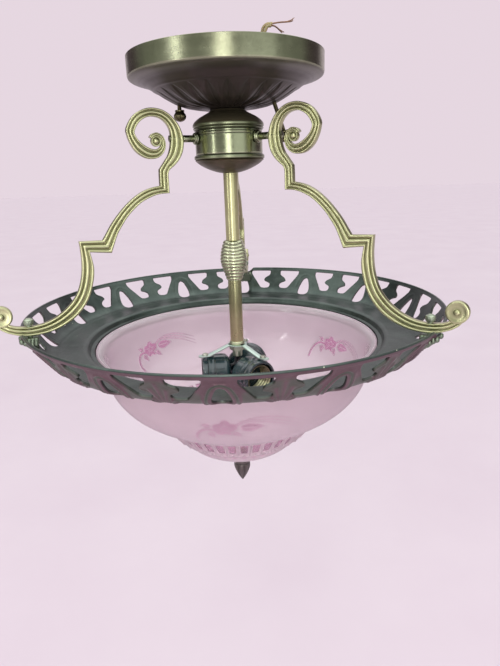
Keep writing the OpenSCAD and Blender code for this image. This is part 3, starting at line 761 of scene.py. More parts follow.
def hub():
    cap = dense(np.concatenate([[[5.3, -47.1], [16.2, -47.1]], cr([[17.2, -48.6], [21.6, -51], [26.5, -53.5], [30.6, -56.4], [32.9, -59.4], [33.2, -61.2]], 5), [[33.2, -61.5], [32.5, -62.0], [32.3, -62.4], [32.6, -62.8], [32.9, -63.2], [32.9, -63.7], [32.2, -64.1], [32.0, -64.5], [32.2, -64.8], [31.6, -65.0]]]), 0.8)
    v, f, cav = with_painted_shade(sheet(cap, 1.2), 192, (-62.3, -64.3, -47.2), 0.35, closed=True)
    # painted shade on the upper dome under the canopy and in the grooves; painted highlight on the bead rings of the
    # lower edge
    Piece().add(v, f, cav=cav * 0.9, dusk=0.62 * step(v[:, 2], -60.5, -57.5), lite=0.5 * step(-v[:, 2], 58.8, 60.6)).build("hub_cap_turned", M["dark_brass"], replaces=["hub_cap"], slot="dark_brass", angle=34)
    dr = [[31.0, -65.02], [31.4, -65.3], [31.5, -66.4], [31.2, -66.8], [31.5, -67.2], [31.5, -68.4], [31.25, -68.8], [31.5, -69.2], [31.5, -85.6], [31.2, -86.38]]
    # painted shade in the grooves and at the edges of the drum
    v, f, cav = with_painted_shade(sheet(dense(dr, 1.2), 1.1), 192, (-66.8, -68.8, -65.0, -86.4), 0.35, closed=True)
    Piece().add(v, f, cav=cav * 0.9).build("hub_drum_polished", M["drum_brass"], replaces=["hub_shell"], slot="drum_brass", angle=34)
    base = dense(np.concatenate([[[32.0, -86.45], [32.1, -86.7], [32.9, -87.3], [33.1, -87.9], [33.1, -89.6], [32.8, -90.2], [32.0, -90.6], [32.4, -91.1], [32.2, -91.5]], cr([[31.5, -92.1], [28.5, -94.6], [24.4, -97], [19, -99.5], [12.5, -101.7], [7.1, -102.8]], 5)]), 0.9)
    v, f, cav = with_painted_shade(sheet(base, 1.2), 192, (-90.65, -86.5), 0.35, closed=True)
    # painted highlight on the bead ring at the top; painted shade on the lower dome, which faces down, and in the
    # grooves
    Piece().add(v, f, cav=cav * 0.9, dusk=0.6 * step(-v[:, 2], 90.8, 93), lite=0.5 * step(v[:, 2], -90.4, -89.6)).build("hub_base_turned", M["dark_brass"], replaces=["hub_base"], slot="dark_brass", angle=34)
    pc, ps = Piece(), Piece()
    for a in ARMS.values():
        d = np.array([math.cos(math.radians(a)), math.sin(math.radians(a)), 0])
        o = np.array([0, 0, -72.0])
        prof = [[3.15, 0], [5.1, 0], [5.6, 0.4], [5.6, 1.2], [5.2, 1.7], [5.0, 2.0], [5.2, 2.3], [4.9, 3.0], [4.2, 3.5], [3.15, 3.6]]
        v, f = lathe(prof, 64, closed=True)
        # painted shade in the groove of each collar
        pc.add(put(v, o + d * 31.6, z=d), f, cav=bump(v[:, 2], 2.0, 0.3))
        prof = [[0, 9], [3.1, 9], [3.1, 35.0], [2.85, 35.4], [2.85, 36.0], [3.1, 36.4], [3.1, 44.6], [2.7, 45.0], [2.0, 45.1], [2.0, 57.5], [2.7, 57.5], [3.0, 57.8], [2.9, 58.2], [2.1, 58.5], [0, 58.6]]
        v, f = lathe(prof, 48)
        # painted shade in the groove round each stud
        ps.add(put(v, o, z=d), f, cav=bump(v[:, 2], 35.7, 0.3) * 0.7)
    pc.build("stud_collars_turned", M["drum_brass"], replaces=["stud_collars"], slot="drum_brass")
    ps.build("arm_studs_turned", M["drum_brass"], replaces=["arm_studs"], slot="drum_brass")


hub()


# ------------------------------------------------------------------ arms
def pol(c, r, deg):
    return [c[0] + r * math.cos(math.radians(deg)), c[1] + r * math.sin(math.radians(deg))]


def arm_edges():
    c = (70.5, -74.0)
    coil = [[-330, 5.1, 3.6], [-300, 5.2, 3.6], [-260, 5.4, 3.6], [-215, 5.7, 3.4], [-185, 6.1, 3.4], [-155, 7.0, 4.0], [-125, 8.35, 5.5], [-100, 9.75, 6.9], [-80, 10.95, 8.1], [-60, 12.25, 9.3], [-43, 13.6, 10], [-24, 15.6, 10.4], [-6, 18.3, 9.4], [10, 21.55, 8.1], [24, 24, 7.4], [50, 24.4, 7.3], [76, 24.2, 7], [100, 23.4, 7.2], [120, 22.3, 7.8], [140, 21, 9], [160, 19.9, 10.6], [180, 19.3, 12], [200, 19.4, 12], [218, 20, 11.2], [234, 20.9, 9.8]]
    out = [pol(c, d + w / 2, a) for a, d, w in coil]
    inn = [pol(c, d - w / 2, a) for a, d, w in coil]
    e = (218.4, -213.4)
    segs = [
        (cr(out + [[60.4, -98.8], [61.8, -102.4]], 6), cr(inn + [[63.6, -90.2], [69.6, -98]], 6), None),
        ([[61.8, -102.4], [61.9, -118.8]], [[69.6, -98], [69.9, -104], [70.1, -112]], 12),
        (cr([[61.9, -118.8], [70.5, -119.2], [78, -121], [87.5, -125.2], [95.5, -131.2], [102.5, -138], [107.8, -145], [112.5, -152], [116.3, -160.4], [119.6, -168.2]], 6), cr([[70.1, -112], [79, -113.6], [87.5, -116.8], [96.2, -122.2], [104.5, -129.2], [111.7, -136.7], [117.5, -143.7], [122, -150.4], [126.2, -156.6]], 6), 56),
        ([[119.6, -168.2], [138.4, -166]], [[126.2, -156.6], [146.7, -156]], 14),
    ]
    a4 = [[138.4, -166], [137.2, -173], [136.6, -181], [138.2, -191], [142.6, -204], [149.4, -214.6], [158, -222.8], [168.4, -228.8], [180.2, -232.7], [192, -233.8], [203.6, -232.9], [214.4, -228.8]]
    b4 = [[146.7, -156], [146.3, -164], [146.4, -174], [148.2, -187], [153, -200.4], [161, -210.8], [171.4, -218.8], [183, -223.9], [195, -225.6], [206, -224.4], [211.4, -222.4]]
    a5 = [[214.4, -228.8], [219.4, -225.4], [222.9, -221.2]]
    b5 = [[211.4, -222.4], [213.8, -220.6], [216, -218.6]]
    segs.append((cr(a4, 6), cr(b4, 6), 110))
    segs.append((cr(a5, 6), cr(b5, 6), None))
    A, Bb = [], []
    for a, b, n in segs:
        a, b = np.asarray(a, float), np.asarray(b, float)
        if n is not None:
            a, b = by_length(a, n), by_length(b, n)
        elif len(a) != len(b):
            raise ValueError("edges differ")
        if A:
            a, b = a[1:], b[1:]
        A.append(a)
        Bb.append(b)
    return np.concatenate(A), np.concatenate(Bb)


# cross-section of the reeded arm: (across, height, painted shade); the third column darkens the grooves as painted
# shade
FACE = [(-1.0, 2.2, 0.35), (-0.97, 2.62, 0.1), (-0.90, 2.9, 0), (-0.80, 3.0, 0), (-0.70, 2.95, 0), (-0.60, 2.7, 0.1), (-0.52, 2.2, 0.6), (-0.46, 1.75, 1.0), (-0.40, 1.7, 1.0), (-0.34, 2.2, 0.6), (-0.26, 2.65, 0.1), (-0.16, 2.9, 0), (0, 3.0, 0)]
FACE = FACE + [(-v, h, c) for v, h, c in FACE[-2::-1]]


def arm_mesh():
    A, Bb = arm_edges()
    n = len(A)
    loc = []
    for v, h, c in FACE:
        loc.append((v, h, c))
    for v, h, c in FACE[::-1]:
        loc.append((v, -h, c))
    m = len(loc)
    v = np.array([x[0] for x in loc])
    h = np.array([x[1] for x in loc])
    c = np.array([x[2] for x in loc])
    w = np.linalg.norm(Bb - A, axis=1)
    depth = np.clip(w / 8.0, 0.35, 1.0)
    mid = (A + Bb)[:, None, :] / 2 + (Bb - A)[:, None, :] / 2 * v[None, :, None]
    hh = np.sign(h)[None, :] * (3.0 - (3.0 - np.abs(h))[None, :] * depth[:, None])
    hh *= (1 - 0.34 * step(np.arange(n), n - 15, n - 2))[:, None]
    pts = np.stack([mid[..., 0], hh, mid[..., 1]], -1).reshape(-1, 3)
    f = []
    for i in range(n - 1):
        for k in range(m):
            k2 = (k + 1) % m
            f.append([i * m + k, i * m + k2, (i + 1) * m + k2, (i + 1) * m + k])
    f.append(list(range(m)))
    f.append([(n - 1) * m + k for k in range(m)])
    cav = np.broadcast_to(c, (n, m)).ravel()
    return pts, f, cav


def boss(centre, r, top, disc, drop=0.8):
    """Round eye of a scroll: a sunk disc with a ball on both faces, on an axis along Y."""
    prof = [[0, -top]] + [[r * math.sin(a), -(top - 1.9) - 1.9 * math.cos(a)] for a in np.linspace(0.12, math.pi / 2, 9)]
    prof += [[r + 0.25, -(top - 2.2)], [r + 0.45, -(3.0 - drop)], [disc * 0.96, -(3.0 - drop)], [disc, -(3.0 - drop) + 0.4]]
    full = prof + [[a, -b] for a, b in prof[::-1]]
    v, f = lathe(full, 56)
    # painted shade in the groove round the sunk disc
    cav = np.maximum(bump(np.hypot(v[:, 0], v[:, 1]), r + 0.45, 0.5), 0)
    return put(v, (centre[0], 0, centre[1]), x=(1, 0, 0), z=(0, 1, 0)), f, cav


def arms():
    pts, f, cav = arm_mesh()
    b1 = boss((70.5, -74.0), 2.7, 4.0, 4.6)
    prof = [[0, -4.2]] + [[2.5 * math.sin(a), -2.7 - 1.5 * math.cos(a)] for a in np.linspace(0.15, math.pi / 2, 8)]
    prof += [[2.7, -2.4], [3.2, -2.3], [5.0, -2.35], [6.6, -2.7], [7.6, -3.0], [8.4, -3.0], [9.05, -2.6], [9.3, -1.8]]
    dv, df = lathe(prof + [[a, -b] for a, b in prof[::-1]], 72)
    rr = np.hypot(dv[:, 0], dv[:, 1])
    # painted shade round the ball and in the groove of the end disc
    b2 = (put(dv, (217.7, 0, -214.0), x=(1, 0, 0), z=(0, 1, 0)), df, np.clip(bump(rr, 2.75, 0.6) + 0.35 * bump(rr, 6.4, 0.6), 0, 1))
    for name, a in ARMS.items():
        pc = Piece()
        pc.add(turn(pts, a), f, cav=cav)
        for bv, bf, bc in (b1, b2):
            pc.add(turn(bv, a), bf, cav=bc)
        pc.build("arm_%s_reeded" % name, M["arm_gilt"], replaces=["arm_" + name], slot="arm_gilt", angle=38)


arms()


# ------------------------------------------------------------------ centre tube, bead, collar
def stem():
    prof = [[5.1, -274], [6.4, -274], [6.8, -273.6], [6.8, -81.2], [6.6, -81], [5.1, -81]]
    v, f = lathe(dense(prof, 6), 96, closed=True)
    # painted shade on the tube where it runs up under the hub
    Piece().add(v, f, cav=0.5 * step(v[:, 2], -108, -101) * (v[:, 2] > -112)).build("stem_tube_drawn", M["tube_brass"], replaces=["stem_tube"], slot="tube_brass")
    env = np.array([[9.4, -166.5], [11.1, -171], [12.8, -177], [13.65, -184], [13.5, -188], [12.4, -192.5], [10.5, -198], [8, -206]])
    prof = [[6.9, -166.3], [7.6, -166.2]]
    n = 12
    stepz = 39.5 / n
    for i in range(n):
        z0 = -166.5 - i * stepz
        for t in np.linspace(0.04, 0.96, 9):
            z = z0 - t * stepz
            e = np.interp(-z, -env[:, 1], env[:, 0])
            prof.append([e - 1.25 + 1.2 * math.sin(math.pi * t) ** 0.55, z])
    prof += [[7.3, -206.2], [6.9, -206.2]]
    v, f = lathe(prof, 128, closed=True)
    k = ((-166.5 - v[:, 2]) / stepz) % 1
    # painted shade in the valleys between the ribs
    cav = np.clip(1.2 * np.exp(-(np.minimum(k, 1 - k) / 0.13) ** 2), 0, 1) * (np.hypot(v[:, 0], v[:, 1]) > 7.2)
    Piece().add(v, f, cav=cav).build("bead_ribbed", M["pale_brass"], replaces=["spindle_bead"], slot="pale_brass", angle=60)
    prof = [[6.9, -270.6], [7.4, -270.7], [7.7, -271.0], [7.9, -271.5], [7.6, -271.9], [7.9, -272.3], [7.9, -273.4], [7.6, -274], [6.9, -274]]
    v, f = lathe(dense(prof, 0.8), 96, closed=True)
    # painted shade in the collar's groove
    Piece().add(v, f, cav=bump(v[:, 2], -271.9, 0.3)).build("stem_collar_turned", M["pale_brass"], replaces=["stem_collar"], slot="pale_brass")


stem()


# ------------------------------------------------------------------ gallery ring
def poly_sdf(x, y, poly):
    """Signed distance to a closed polygon, negative inside."""
    p = np.asarray(poly, float)
    q = np.roll(p, -1, 0)
    best = np.full(x.shape, 1e9)
    inside = np.zeros(x.shape, bool)
    for (ax, ay), (bx, by) in zip(p, q):
        dx, dy = bx - ax, by - ay
        t = np.clip(((x - ax) * dx + (y - ay) * dy) / (dx * dx + dy * dy + 1e-12), 0, 1)
        best = np.minimum(best, np.hypot(x - ax - t * dx, y - ay - t * dy))
        cross = ((ay > y) != (by > y)) & (x < (bx - ax) * (y - ay) / (by - ay + 1e-12) + ax)
        inside ^= cross
    return np.where(inside, -best, best)


def line_dist(x, y, pts):
    p = np.asarray(pts, float)
    best = np.full(x.shape, 1e9)
    for (ax, ay), (bx, by) in zip(p[:-1], p[1:]):
        dx, dy = bx - ax, by - ay
        t = np.clip(((x - ax) * dx + (y - ay) * dy) / (dx * dx + dy * dy + 1e-12), 0, 1)
        best = np.minimum(best, np.hypot(x - ax - t * dx, y - ay - t * dy))
    return best


RING_IN = np.concatenate([[[203.2, -229.6], [201.2, -232.6]], cr([[198.4, -237.2], [194.6, -242.6], [190, -248.8], [186, -254], [182, -257.6], [177, -259.6], [170.5, -260.4], [163.5, -260.4], [157.5, -260.2], [153.6, -260]], 4), [[151.6, -260.4], [149.4, -261.4], [147.2, -265.2], [143.6, -265.6], [143.6, -272.6], [137.4, -272.6]]])
MOTIFS, PHASE, RING_T = 14, 92.9, 2.4
PERIOD = 2 * math.pi * 190 / MOTIFS
TEAR = cr_closed([[0, 13.0], [2.9, 14.8], [4.6, 18.6], [6.5, 24.6], [7.6, 30.5], [7.2, 34.8], [5.2, 38], [2.6, 39.4], [0, 39.7], [-2.6, 39.4], [-5.2, 38], [-7.2, 34.8], [-7.6, 30.5], [-6.5, 24.6], [-4.6, 18.6], [-2.9, 14.8]], 3)
LEAF = np.array([[6.4, 4.6], [8, 3.6], [30.4, 3.5], [31.4, 4.3], [31.2, 8.2], [29.2, 12.2], [26.6, 16.6], [24.2, 20.4], [21.9, 24.4], [19.6, 28.0], [17.8, 29.5], [14, 30], [9.3, 29.5], [7.3, 28], [6.5, 25.4], [7.3, 22.6], [10.4, 20.5], [13.8, 19.1], [14.6, 18.0], [14.2, 16.2], [12.9, 14.2], [10.6, 12.7], [8.3, 11.2], [6.9, 9.2]])


def ring():
    path = dense(RING_IN, 0.95)
    s = arc(path)
    nrm = normals2(path)
    nu = 96
    N = nu * MOTIFS
    K = len(path)
    # one period, from the middle of one teardrop to the middle of the next
    x = (np.arange(nu + 1) / nu) * PERIOD
    X, S = np.meshgrid(x, s, indexing="ij")
    xt = np.minimum(X, PERIOD - X)
    xp = np.abs(X - PERIOD / 2)
    ft = poly_sdf(xt, S, TEAR)
    fl = poly_sdf(xp, S, LEAF)
    F = np.minimum(ft, fl)
    F[:, s < 3] = 5
    F[:, s > 44] = 5
    F = np.where(np.abs(F) < 0.03, 0.03 * np.sign(F + 1e-9), F)
    code = lambda t, i, j: (t * N + (i % N)) * K + j
    faces, walls, cross = [], [], {}
    for i in range(nu):
        for j in range(K - 1):
            cs = [(i, j), (i + 1, j), (i + 1, j + 1), (i, j + 1)]
            fs = [F[c] for c in cs]
            if min(fs) > 0:
                faces.append([(0, *c) for c in cs])
                continue
            if max(fs) < 0:
                continue
            poly = []
            for k in range(4):
                a, b = cs[k], cs[(k + 1) % 4]
                if fs[k] > 0:
                    poly.append((0, *a))
                if (fs[k] > 0) != (fs[(k + 1) % 4] > 0):
                    lo = min(a, b)
                    hi = max(a, b)
                    kind = 1 if a[1] == b[1] else 2
                    t = F[lo] / (F[lo] - F[hi])
                    cross[(kind, *lo)] = float(np.clip(t, 0.04, 0.96))
                    poly.append((kind, *lo))
            faces.append(poly)
            for k in range(len(poly)):
                a, b = poly[k], poly[(k + 1) % len(poly)]
                if a[0] and b[0]:
                    walls.append((a, b))
    th0 = math.radians(PHASE)
    dth = 2 * math.pi / N
    used = {}
    order = []

    def vid(t, i, j, p):
        c = code(t, i + p * nu, j)
        if c not in used:
            used[c] = len(order)
            order.append((t, (i + p * nu) % N, i % nu if t == 1 or i < nu else 0, j))
        return used[c]

    F4, W = [], []
    for p in range(MOTIFS):
        for q in faces:
            F4.append([vid(*c, p) for c in q])
        for a, b in walls:
            W.append((vid(*a, p), vid(*b, p)))
    order = np.array(order)
    t_, gi, li, gj = order.T
    uu = gi.astype(float)
    jj = gj.astype(float)
    frac = np.array([cross.get((int(a), int(b), int(c)), 0.0) if a else 0.0 for a, b, c in zip(t_, li, gj)])
    uu += np.where(t_ == 1, frac, 0)
    jj += np.where(t_ == 2, frac, 0)
    th = th0 + uu * dth
    ss = np.interp(jj, np.arange(K), s)
    pr = np.stack([np.interp(jj, np.arange(K), path[:, k]) for k in (0, 1)], 1)
    nn = np.stack([np.interp(jj, np.arange(K), nrm[:, k]) for k in (0, 1)], 1)
    nn /= np.linalg.norm(nn, axis=1)[:, None]
    xx = (uu % nu) / nu * PERIOD
    xt = np.minimum(xx, PERIOD - xx)
    xs = xx - PERIOD / 2
    xp = np.abs(xs)
    ft = poly_sdf(xt, ss, TEAR)
    fl = poly_sdf(xp, ss, LEAF)
    band = step(ss, 3.2, 4.2) * (1 - step(ss, 39.6, 41.2))
    # outline of the arch round each teardrop, doubled
    arch = np.where(ss > 8, 1.0, 0.0) * band
    d = 0.75 * bump(ft, 2.0, 0.85) * arch + 0.95 * bump(ft, 5.6, 1.0) * arch * step(xp, 9, 13)
    # palmette with curved ribs
    up = np.clip(40 - ss, 0.1, None)
    ang = np.degrees(np.arctan2(xs * (1 + 0.012 * up), up))
    rad = np.hypot(xs, up)
    rib = np.zeros_like(ss)
    for a, reach in ((0, 34), (17, 27), (-17, 27), (36, 21), (-36, 21), (56, 15), (-56, 15)):
        off = np.abs(np.radians(ang - a)) * rad
        wid = 1.1 + 0.06 * rad
        rib = np.maximum(rib, np.exp(-(off / wid) ** 2) * (1 - step(rad, reach - 3, reach)) * step(rad, 3, 7))
    pal = rib * (ft > 7.4) * band * step(fl, 0.2, 1.0)
    d += 1.0 * pal
    # fine edge along every opening, beads under the rim and on the roll
    d += 0.35 * bump(np.minimum(ft, fl), 0.9, 0.55) * band
    d += 0.3 * bump(ss, 2.4, 0.6) + 0.6 * bump(ss, 41.8, 0.9) + 0.35 * bump(ss, 44.8, 0.7)
    # painted shade in the arch outlines, round the palmette ribs and under the beads of the outer face
    painted_shade_outer = np.clip(1.1 * bump(ft, 3.8, 0.9) * arch + 0.9 * (1 - rib) * (ft > 7.4) * step(rad, 2, 6) * (1 - step(rad, 30, 36)) * band * 0.55 + 0.7 * bump(ss, 40.3, 0.8) + 0.5 * bump(ss, 43.3, 0.6), 0, 1)
    din = 0.22 * bump(ft, 4.6, 1.1) * arch + 0.25 * bump(ss, 41.5, 1.2)
    # painted shade on the inner face, in the recess steps and at the edges of the openings
    painted_shade_inner = np.clip(0.25 * bump(ss, 40.6, 3.0) + 0.75 * bump(ss, 83.4, 2.0) + 0.3 * bump(ss, 68.5, 1.2) + 0.25 * bump(np.minimum(ft, fl), 0.2, 0.8) * band, 0, 1)
    inner = pr - nn * din[:, None]
    outer = pr + nn * (RING_T - 0.25 + d)[:, None]
    to3 = lambda q: np.stack([q[:, 0] * np.cos(th), q[:, 0] * np.sin(th), q[:, 1]], 1)
    n = len(order)
    v = np.concatenate([to3(inner), to3(outer)])
    depth = np.concatenate([ss, ss])

    def dip(q, down):
        q = q.copy()
        for az in ARMS.values():
            u = np.array([math.cos(math.radians(az)), math.sin(math.radians(az))])
            t = q[:, 0] * -u[1] + q[:, 1] * u[0]
            k = (1 - step(np.abs(t), 4.5, 11.0)) * (q[:, :2] @ u > 0) * down
            q[:, 2] -= 5.2 * k
        return q

    v = dip(v, 1 - step(depth, 1.0, 9.0))
    f = list(F4) + [[i + n for i in q[::-1]] for q in F4]
    f += [[a, b, b + n, a + n] for a, b in W]
    for i in range(N):
        for j in (0, K - 1):
            a, b = used[code(0, i, j)], used[code(0, i + 1, j)]
            f.append([a, b, b + n, a + n])
    # outer face: raised parts take the purple-brown tint, a painted reflection of a magenta surround; the recesses get
    # a painted shade with a green painted highlight
    pc = Piece().add(v, f, cav=np.concatenate([painted_shade_inner, painted_shade_outer * 0.75]), dusk=np.concatenate([0 * painted_shade_inner, np.clip(1 - 0.9 * painted_shade_outer, 0, 1)]), lite=np.concatenate([0 * painted_shade_inner, 0.5 * np.clip(painted_shade_outer, 0, 1) * band]))
    # rounded rim
    c = np.array([203.85, -230.15])
    a = np.linspace(0, 2 * math.pi, 15)[:-1]
    rim = np.stack([c[0] + 1.2 * np.cos(a), c[1] + 1.05 * np.sin(a)], 1)
    rv, rf = lathe(rim, 420, closed=True)
    pc.add(dip(rv, 1.0), rf, cav=0.0)
    for az in ARMS.values():
        for k in (-1, 0, 1):
            prof = [[0, -12.6], [1.4, -12.3], [2.3, -11.2], [2.75, -9.4], [2.75, -1.6], [2.4, -0.5], [1.4, 0], [0, 0]]
            lv, lf = lathe(prof, 28)
            # painted highlight on the lug pins
            pc.add(turn(put(lv, (199.6 - 0.55 * abs(k), k * 4.9, -235.6), z=(0.5, 0, 1.0)), az), lf, cav=0.0, lite=0.8)
        # fluted cheeks of the lug that the arm sits on
        for side in (-1, 1):
            for k in range(5):
                low = (8.6, 9.2, 8.2, 6.6, 5.0)[k]
                prof = [[0, -low], [1.0, -low + 0.2], [1.9, -low + 0.9], [2.35, -low + 2.2], [2.35, -1.3], [1.95, -0.5], [1.1, 0], [0, 0]]
                lv, lf = lathe(dense(prof, 1.0), 24)
                # painted shade on one side of each flute; painted highlight on the cheeks
                cav = 0.2 * np.clip(np.abs(lv[:, 0]) / 2.35, 0, 1) ** 4
                pc.add(turn(put(lv, (192.6 + 2.95 * k, side * 5.5, -234.8), z=(-0.12, -0.1 * side, 1.0)), az), lf, cav=cav, lite=0.75)
        bv, bf = prism([[190.8, -235.6], [205.0, -235.6], [205.2, -237.6], [203.6, -240.2], [198.4, -245.2], [194.4, -246.6], [191.4, -245.4]], -6.3, 6.3, 1.5)
        # painted highlight on the lug block, with a faint painted shade
        pc.add(turn(bv, az), bf, cav=0.1, lite=0.7)
    pc.build("gallery_ring_pierced", M["ring_bronze"], replaces=["gallery_ring"], slot="ring_bronze", angle=42)


ring()


def ring_screws():
    prof = [[0, -18.5], [1.6, -18.5], [2.0, -18.0], [2.0, 0.1], [3.1, 0.1], [3.2, 0.6], [3.7, 0.9], [4.1, 1.4], [4.1, 4.5], [3.8, 5.1], [3.2, 5.5], [2.5, 5.8], [2.1, 6.2], [1.2, 6.4], [0, 6.45]]

    def warp(rr, zz, th, i):
        if 7 <= i <= 8:
            rr = rr * (1 - 0.07 * (0.5 + 0.5 * np.cos(20 * th)) ** 1.5)
        return rr, zz

    v, f = lathe(prof, 120, warp=warp)
    rr = np.hypot(v[:, 0], v[:, 1])
    # painted shade in the knurl grooves and the groove near the top of the head
    cav = np.clip((4.08 - rr) / 0.3, 0, 1) * (v[:, 2] > 1.3) * (v[:, 2] < 4.6) * 0.8 + 0.5 * bump(v[:, 2], 5.9, 0.25)
    for name, az in ARMS.items():
        Piece().add(turn(v + np.array([197.0, 0, -224.5]), az), f, cav=np.clip(cav, 0, 1)).build("thumb_screw_%s" % name, M["screw_green"], "ring_screw_" + name, ["ring_screw_" + name], "screw_green")


ring_screws()


# ------------------------------------------------------------------ glass bowl
BOWL = np.concatenate([cr([[136.8, -272.4], [136.8, -280], [135.7, -292], [132.8, -304], [127.4, -314.6], [119.4, -324.6], [107.4, -334.4], [93.6, -342.4], [86.2, -347], [81.8, -351.2], [77, -357.8], [72.2, -364.2], [67.6, -369], [64, -372]], 4), cr([[62.6, -373.2], [61.4, -375.6], [58.6, -379], [53.2, -383.4], [46, -388], [38, -392.6], [29, -397.4], [20, -402], [12, -405.4], [5.2, -407]], 4)])


def flower(x, y):
    """Mask of one etched blossom with its stem, leaves and long curls; x to the right, y up, in mm."""
    m = np.zeros_like(x)
    put_ = lambda v: np.maximum(m, v)
    for k in range(5):
        a = math.radians(90 + 72 * k)
        cx, cy = 7.2 * math.cos(a), 6.0 * math.sin(a)
        u = (x - cx) * math.cos(a) + (y - cy) * math.sin(a)
        w = -(x - cx) * math.sin(a) + (y - cy) * math.cos(a)
        d = np.hypot(u / 7.6, w / 6.2)
        petal = step(d, 1.05, 0.9)
        vein = step(np.abs(w) / 0.5, 1.4, 0.6) * step(d, 0.9, 0.6)
        m = put_(petal * (1 - 0.6 * vein) * (1 - 0.75 * step(np.abs(d - 0.96), 0.12, 0.02)))
    core = np.hypot(x, y)
    m = m * (1 - 0.6 * step(np.abs(core - 4.2), 0.9, 0.2))
    m = np.maximum(m, step(core, 2.4, 1.8))
    stem = cr([[-10, -4], [-17, -1.5], [-25, -3.5], [-31, -10], [-34, -20], [-33, -30]], 6)
    m = np.maximum(m, step(line_dist(x, y, stem), 2.1, 1.2))
    stem2 = cr([[9, 3], [22, 10], [40, 12], [62, 7], [84, -4]], 6)
    for off, wd in ((0, 0.45), (0.07, 0.35), (-0.07, 0.35)):
        p = stem2 + np.stack([0 * stem2[:, 0], 1.2 * np.sign(off) + off * (stem2[:, 0] - 9)], 1)
        m = np.maximum(m, 0.7 * step(line_dist(x, y, p), wd + 0.7, wd) * (1 - 0.7 * step(x, 50, 84)))
    for cx, cy, a, l, w in ((-15, -12, -75, 7, 3.6), (13, -11, -50, 7, 3.4), (29.5, 1.5, 4, 13.5, 6.2), (-21, 5, 150, 6, 3)):
        a = math.radians(a)
        u = (x - cx) * math.cos(a) + (y - cy) * math.sin(a)
        v = -(x - cx) * math.sin(a) + (y - cy) * math.cos(a)
        d = np.hypot(u / l, v / (w * np.clip(1 - u / (l * 1.6), 0.2, 1.2)))
        m = np.maximum(m * (1 - step(d, 1.3, 1.15)), step(d, 1.05, 0.9) * (0.9 - 0.6 * step(np.abs(v), 0.9, 0.3)))
    return m


def bowl():
    seg = 840
    th = np.arange(seg) * 2 * math.pi / seg
    head = np.array([[141.6, -266.0], [142.3, -266.2], [142.8, -266.9], [142.8, -271.6], [142.2, -272.3], [137.2, -272.35]])
    flare = np.array([[133.7, -279.0], [134.2, -275.0], [135.2, -271.0], [137.2, -268.2], [139.8, -266.6]])
    body = dense(BOWL, 1.35)
    n = normals2(body)
    inner = (body + (-3.2) * n) if n[5, 0] > 0 else (body + 3.2 * n)
    if inner[10, 0] > body[10, 0]:
        inner = body - (inner - body)
    out_n = (body - inner) / 3.2
    s = arc(body)
    R0 = body[:, 0]
    T, I = np.meshgrid(th, np.arange(len(body)), indexing="xy")
    Rg = R0[:, None] + 0 * T
    clear = np.zeros(T.shape)
    for az, zc, way, deep in ((150.0, 303, -1, 1.0), (38.0, 303, -1, 1.0), (271.0, 306, 1, 0.6)):
        sc = s[np.argmin(abs(body[:, 1] + zc))]
        dth = (np.degrees(T) - az + 180) % 360 - 180
        sel = np.abs(dth) < 70
        rm = 0.5 * Rg + 0.5 * 118
        x = way * np.radians(dth) * rm
        y = -(s[:, None] - sc) + 0 * T
        mk = np.zeros(T.shape)
        mk[sel] = deep * flower(x[sel] / 0.74, y[sel] / 0.74)
        clear = np.maximum(clear, mk)
    clear *= (body[:, 1] > -343)[:, None]
    etched = clear.copy()
    # ring of clear panes between raised ribs, above a scalloped fringe, round the foot
    cnt = 42
    ph = (T * cnt / (2 * math.pi)) % 1 - 0.5
    s0 = s[np.argmin(abs(body[:, 1] + 346.8))]
    s1 = s[np.argmin(abs(body[:, 1] + 365.0))]
    t = (s[:, None] - s0) / (s1 - s0) + 0 * T
    halfw = 0.37 - 0.05 * t
    pane = step(halfw - np.abs(ph), 0.0, 0.05) * step(t, 0.02, 0.08) * (1 - step(t, 0.90, 0.97))
    rib = bump(np.abs(ph), 0.5, 0.055) * step(t, -0.06, 0.06) * (1 - step(t, 0.98, 1.12))
    u = (s[:, None] - s1) / 9.5 + 0 * T
    tip = 0.46 * np.sqrt(np.clip(1 - u ** 2, 0, 1))
    ph2 = (T * cnt / (2 * math.pi) + 0.5) % 1 - 0.5
    leaf = step(tip - np.abs(ph2), 0.0, 0.08) * step(u, 0.02, 0.12) * (u < 1)
    vein = bump(ph2, 0, 0.05) * step(u, 0.05, 0.2) * (1 - step(u, 0.7, 0.9))
    drop = step(0.34 - np.hypot(ph * 1.0, (u - 1.25) / 1.3), 0.0, 0.1)
    clear = np.maximum(clear, np.maximum(0.85 * pane, 0.4 * drop))
    rings = 0.7 * bump(t, -0.03, 0.035) + 0.6 * bump(t, 1.02, 0.035)
    relief = -1.0 * pane + 1.9 * rib + rings + 1.1 * leaf - 0.7 * vein - 0.3 * drop - 0.3 * np.clip(etched, 0, 1)
    th_in = th
    P = body[:, None, :] + out_n[:, None, :] * relief[:, :, None]
    A = np.stack([P[..., 0] * np.cos(T), P[..., 0] * np.sin(T), P[..., 1]], -1)
    ring3 = lambda r, z: np.stack([r * np.cos(th), r * np.sin(th), z + 0 * th], 1)
    rows = [ring3(r, z) for r, z in head] + [A[i] for i in range(len(body))]
    clr = [np.zeros(seg)] * len(head) + [clear[i] for i in range(len(body))]
    inn = [np.zeros(seg)] * (len(head) + len(body))
    low = inner[:, 1] < -279.4
    step_in = np.concatenate([inner[low][::-1], flare])
    clear_in = np.concatenate([clear[low][::-1], np.zeros((len(flare), seg))])
    for i in range(len(step_in)):
        rows.append(ring3(step_in[i, 0], step_in[i, 1]))
        clr.append(clear_in[i])
        inn.append(np.ones(seg))
    v = np.concatenate(rows)
    m = len(rows)
    a = np.arange(m)
    b = np.roll(a, -1)
    k = np.arange(seg)
    k2 = (k + 1) % seg
    f = np.stack([(a[:, None] * seg + k), (a[:, None] * seg + k2), (b[:, None] * seg + k2), (b[:, None] * seg + k)], -1).reshape(-1, 4)
    Piece().add(v, f.tolist(), clear=np.concatenate(clr), inner=np.concatenate(inn)).build("bowl_frosted", M["glass_frosted"], "bowl", ["glass_bowl"], "glass_frosted", angle=60)


bowl()


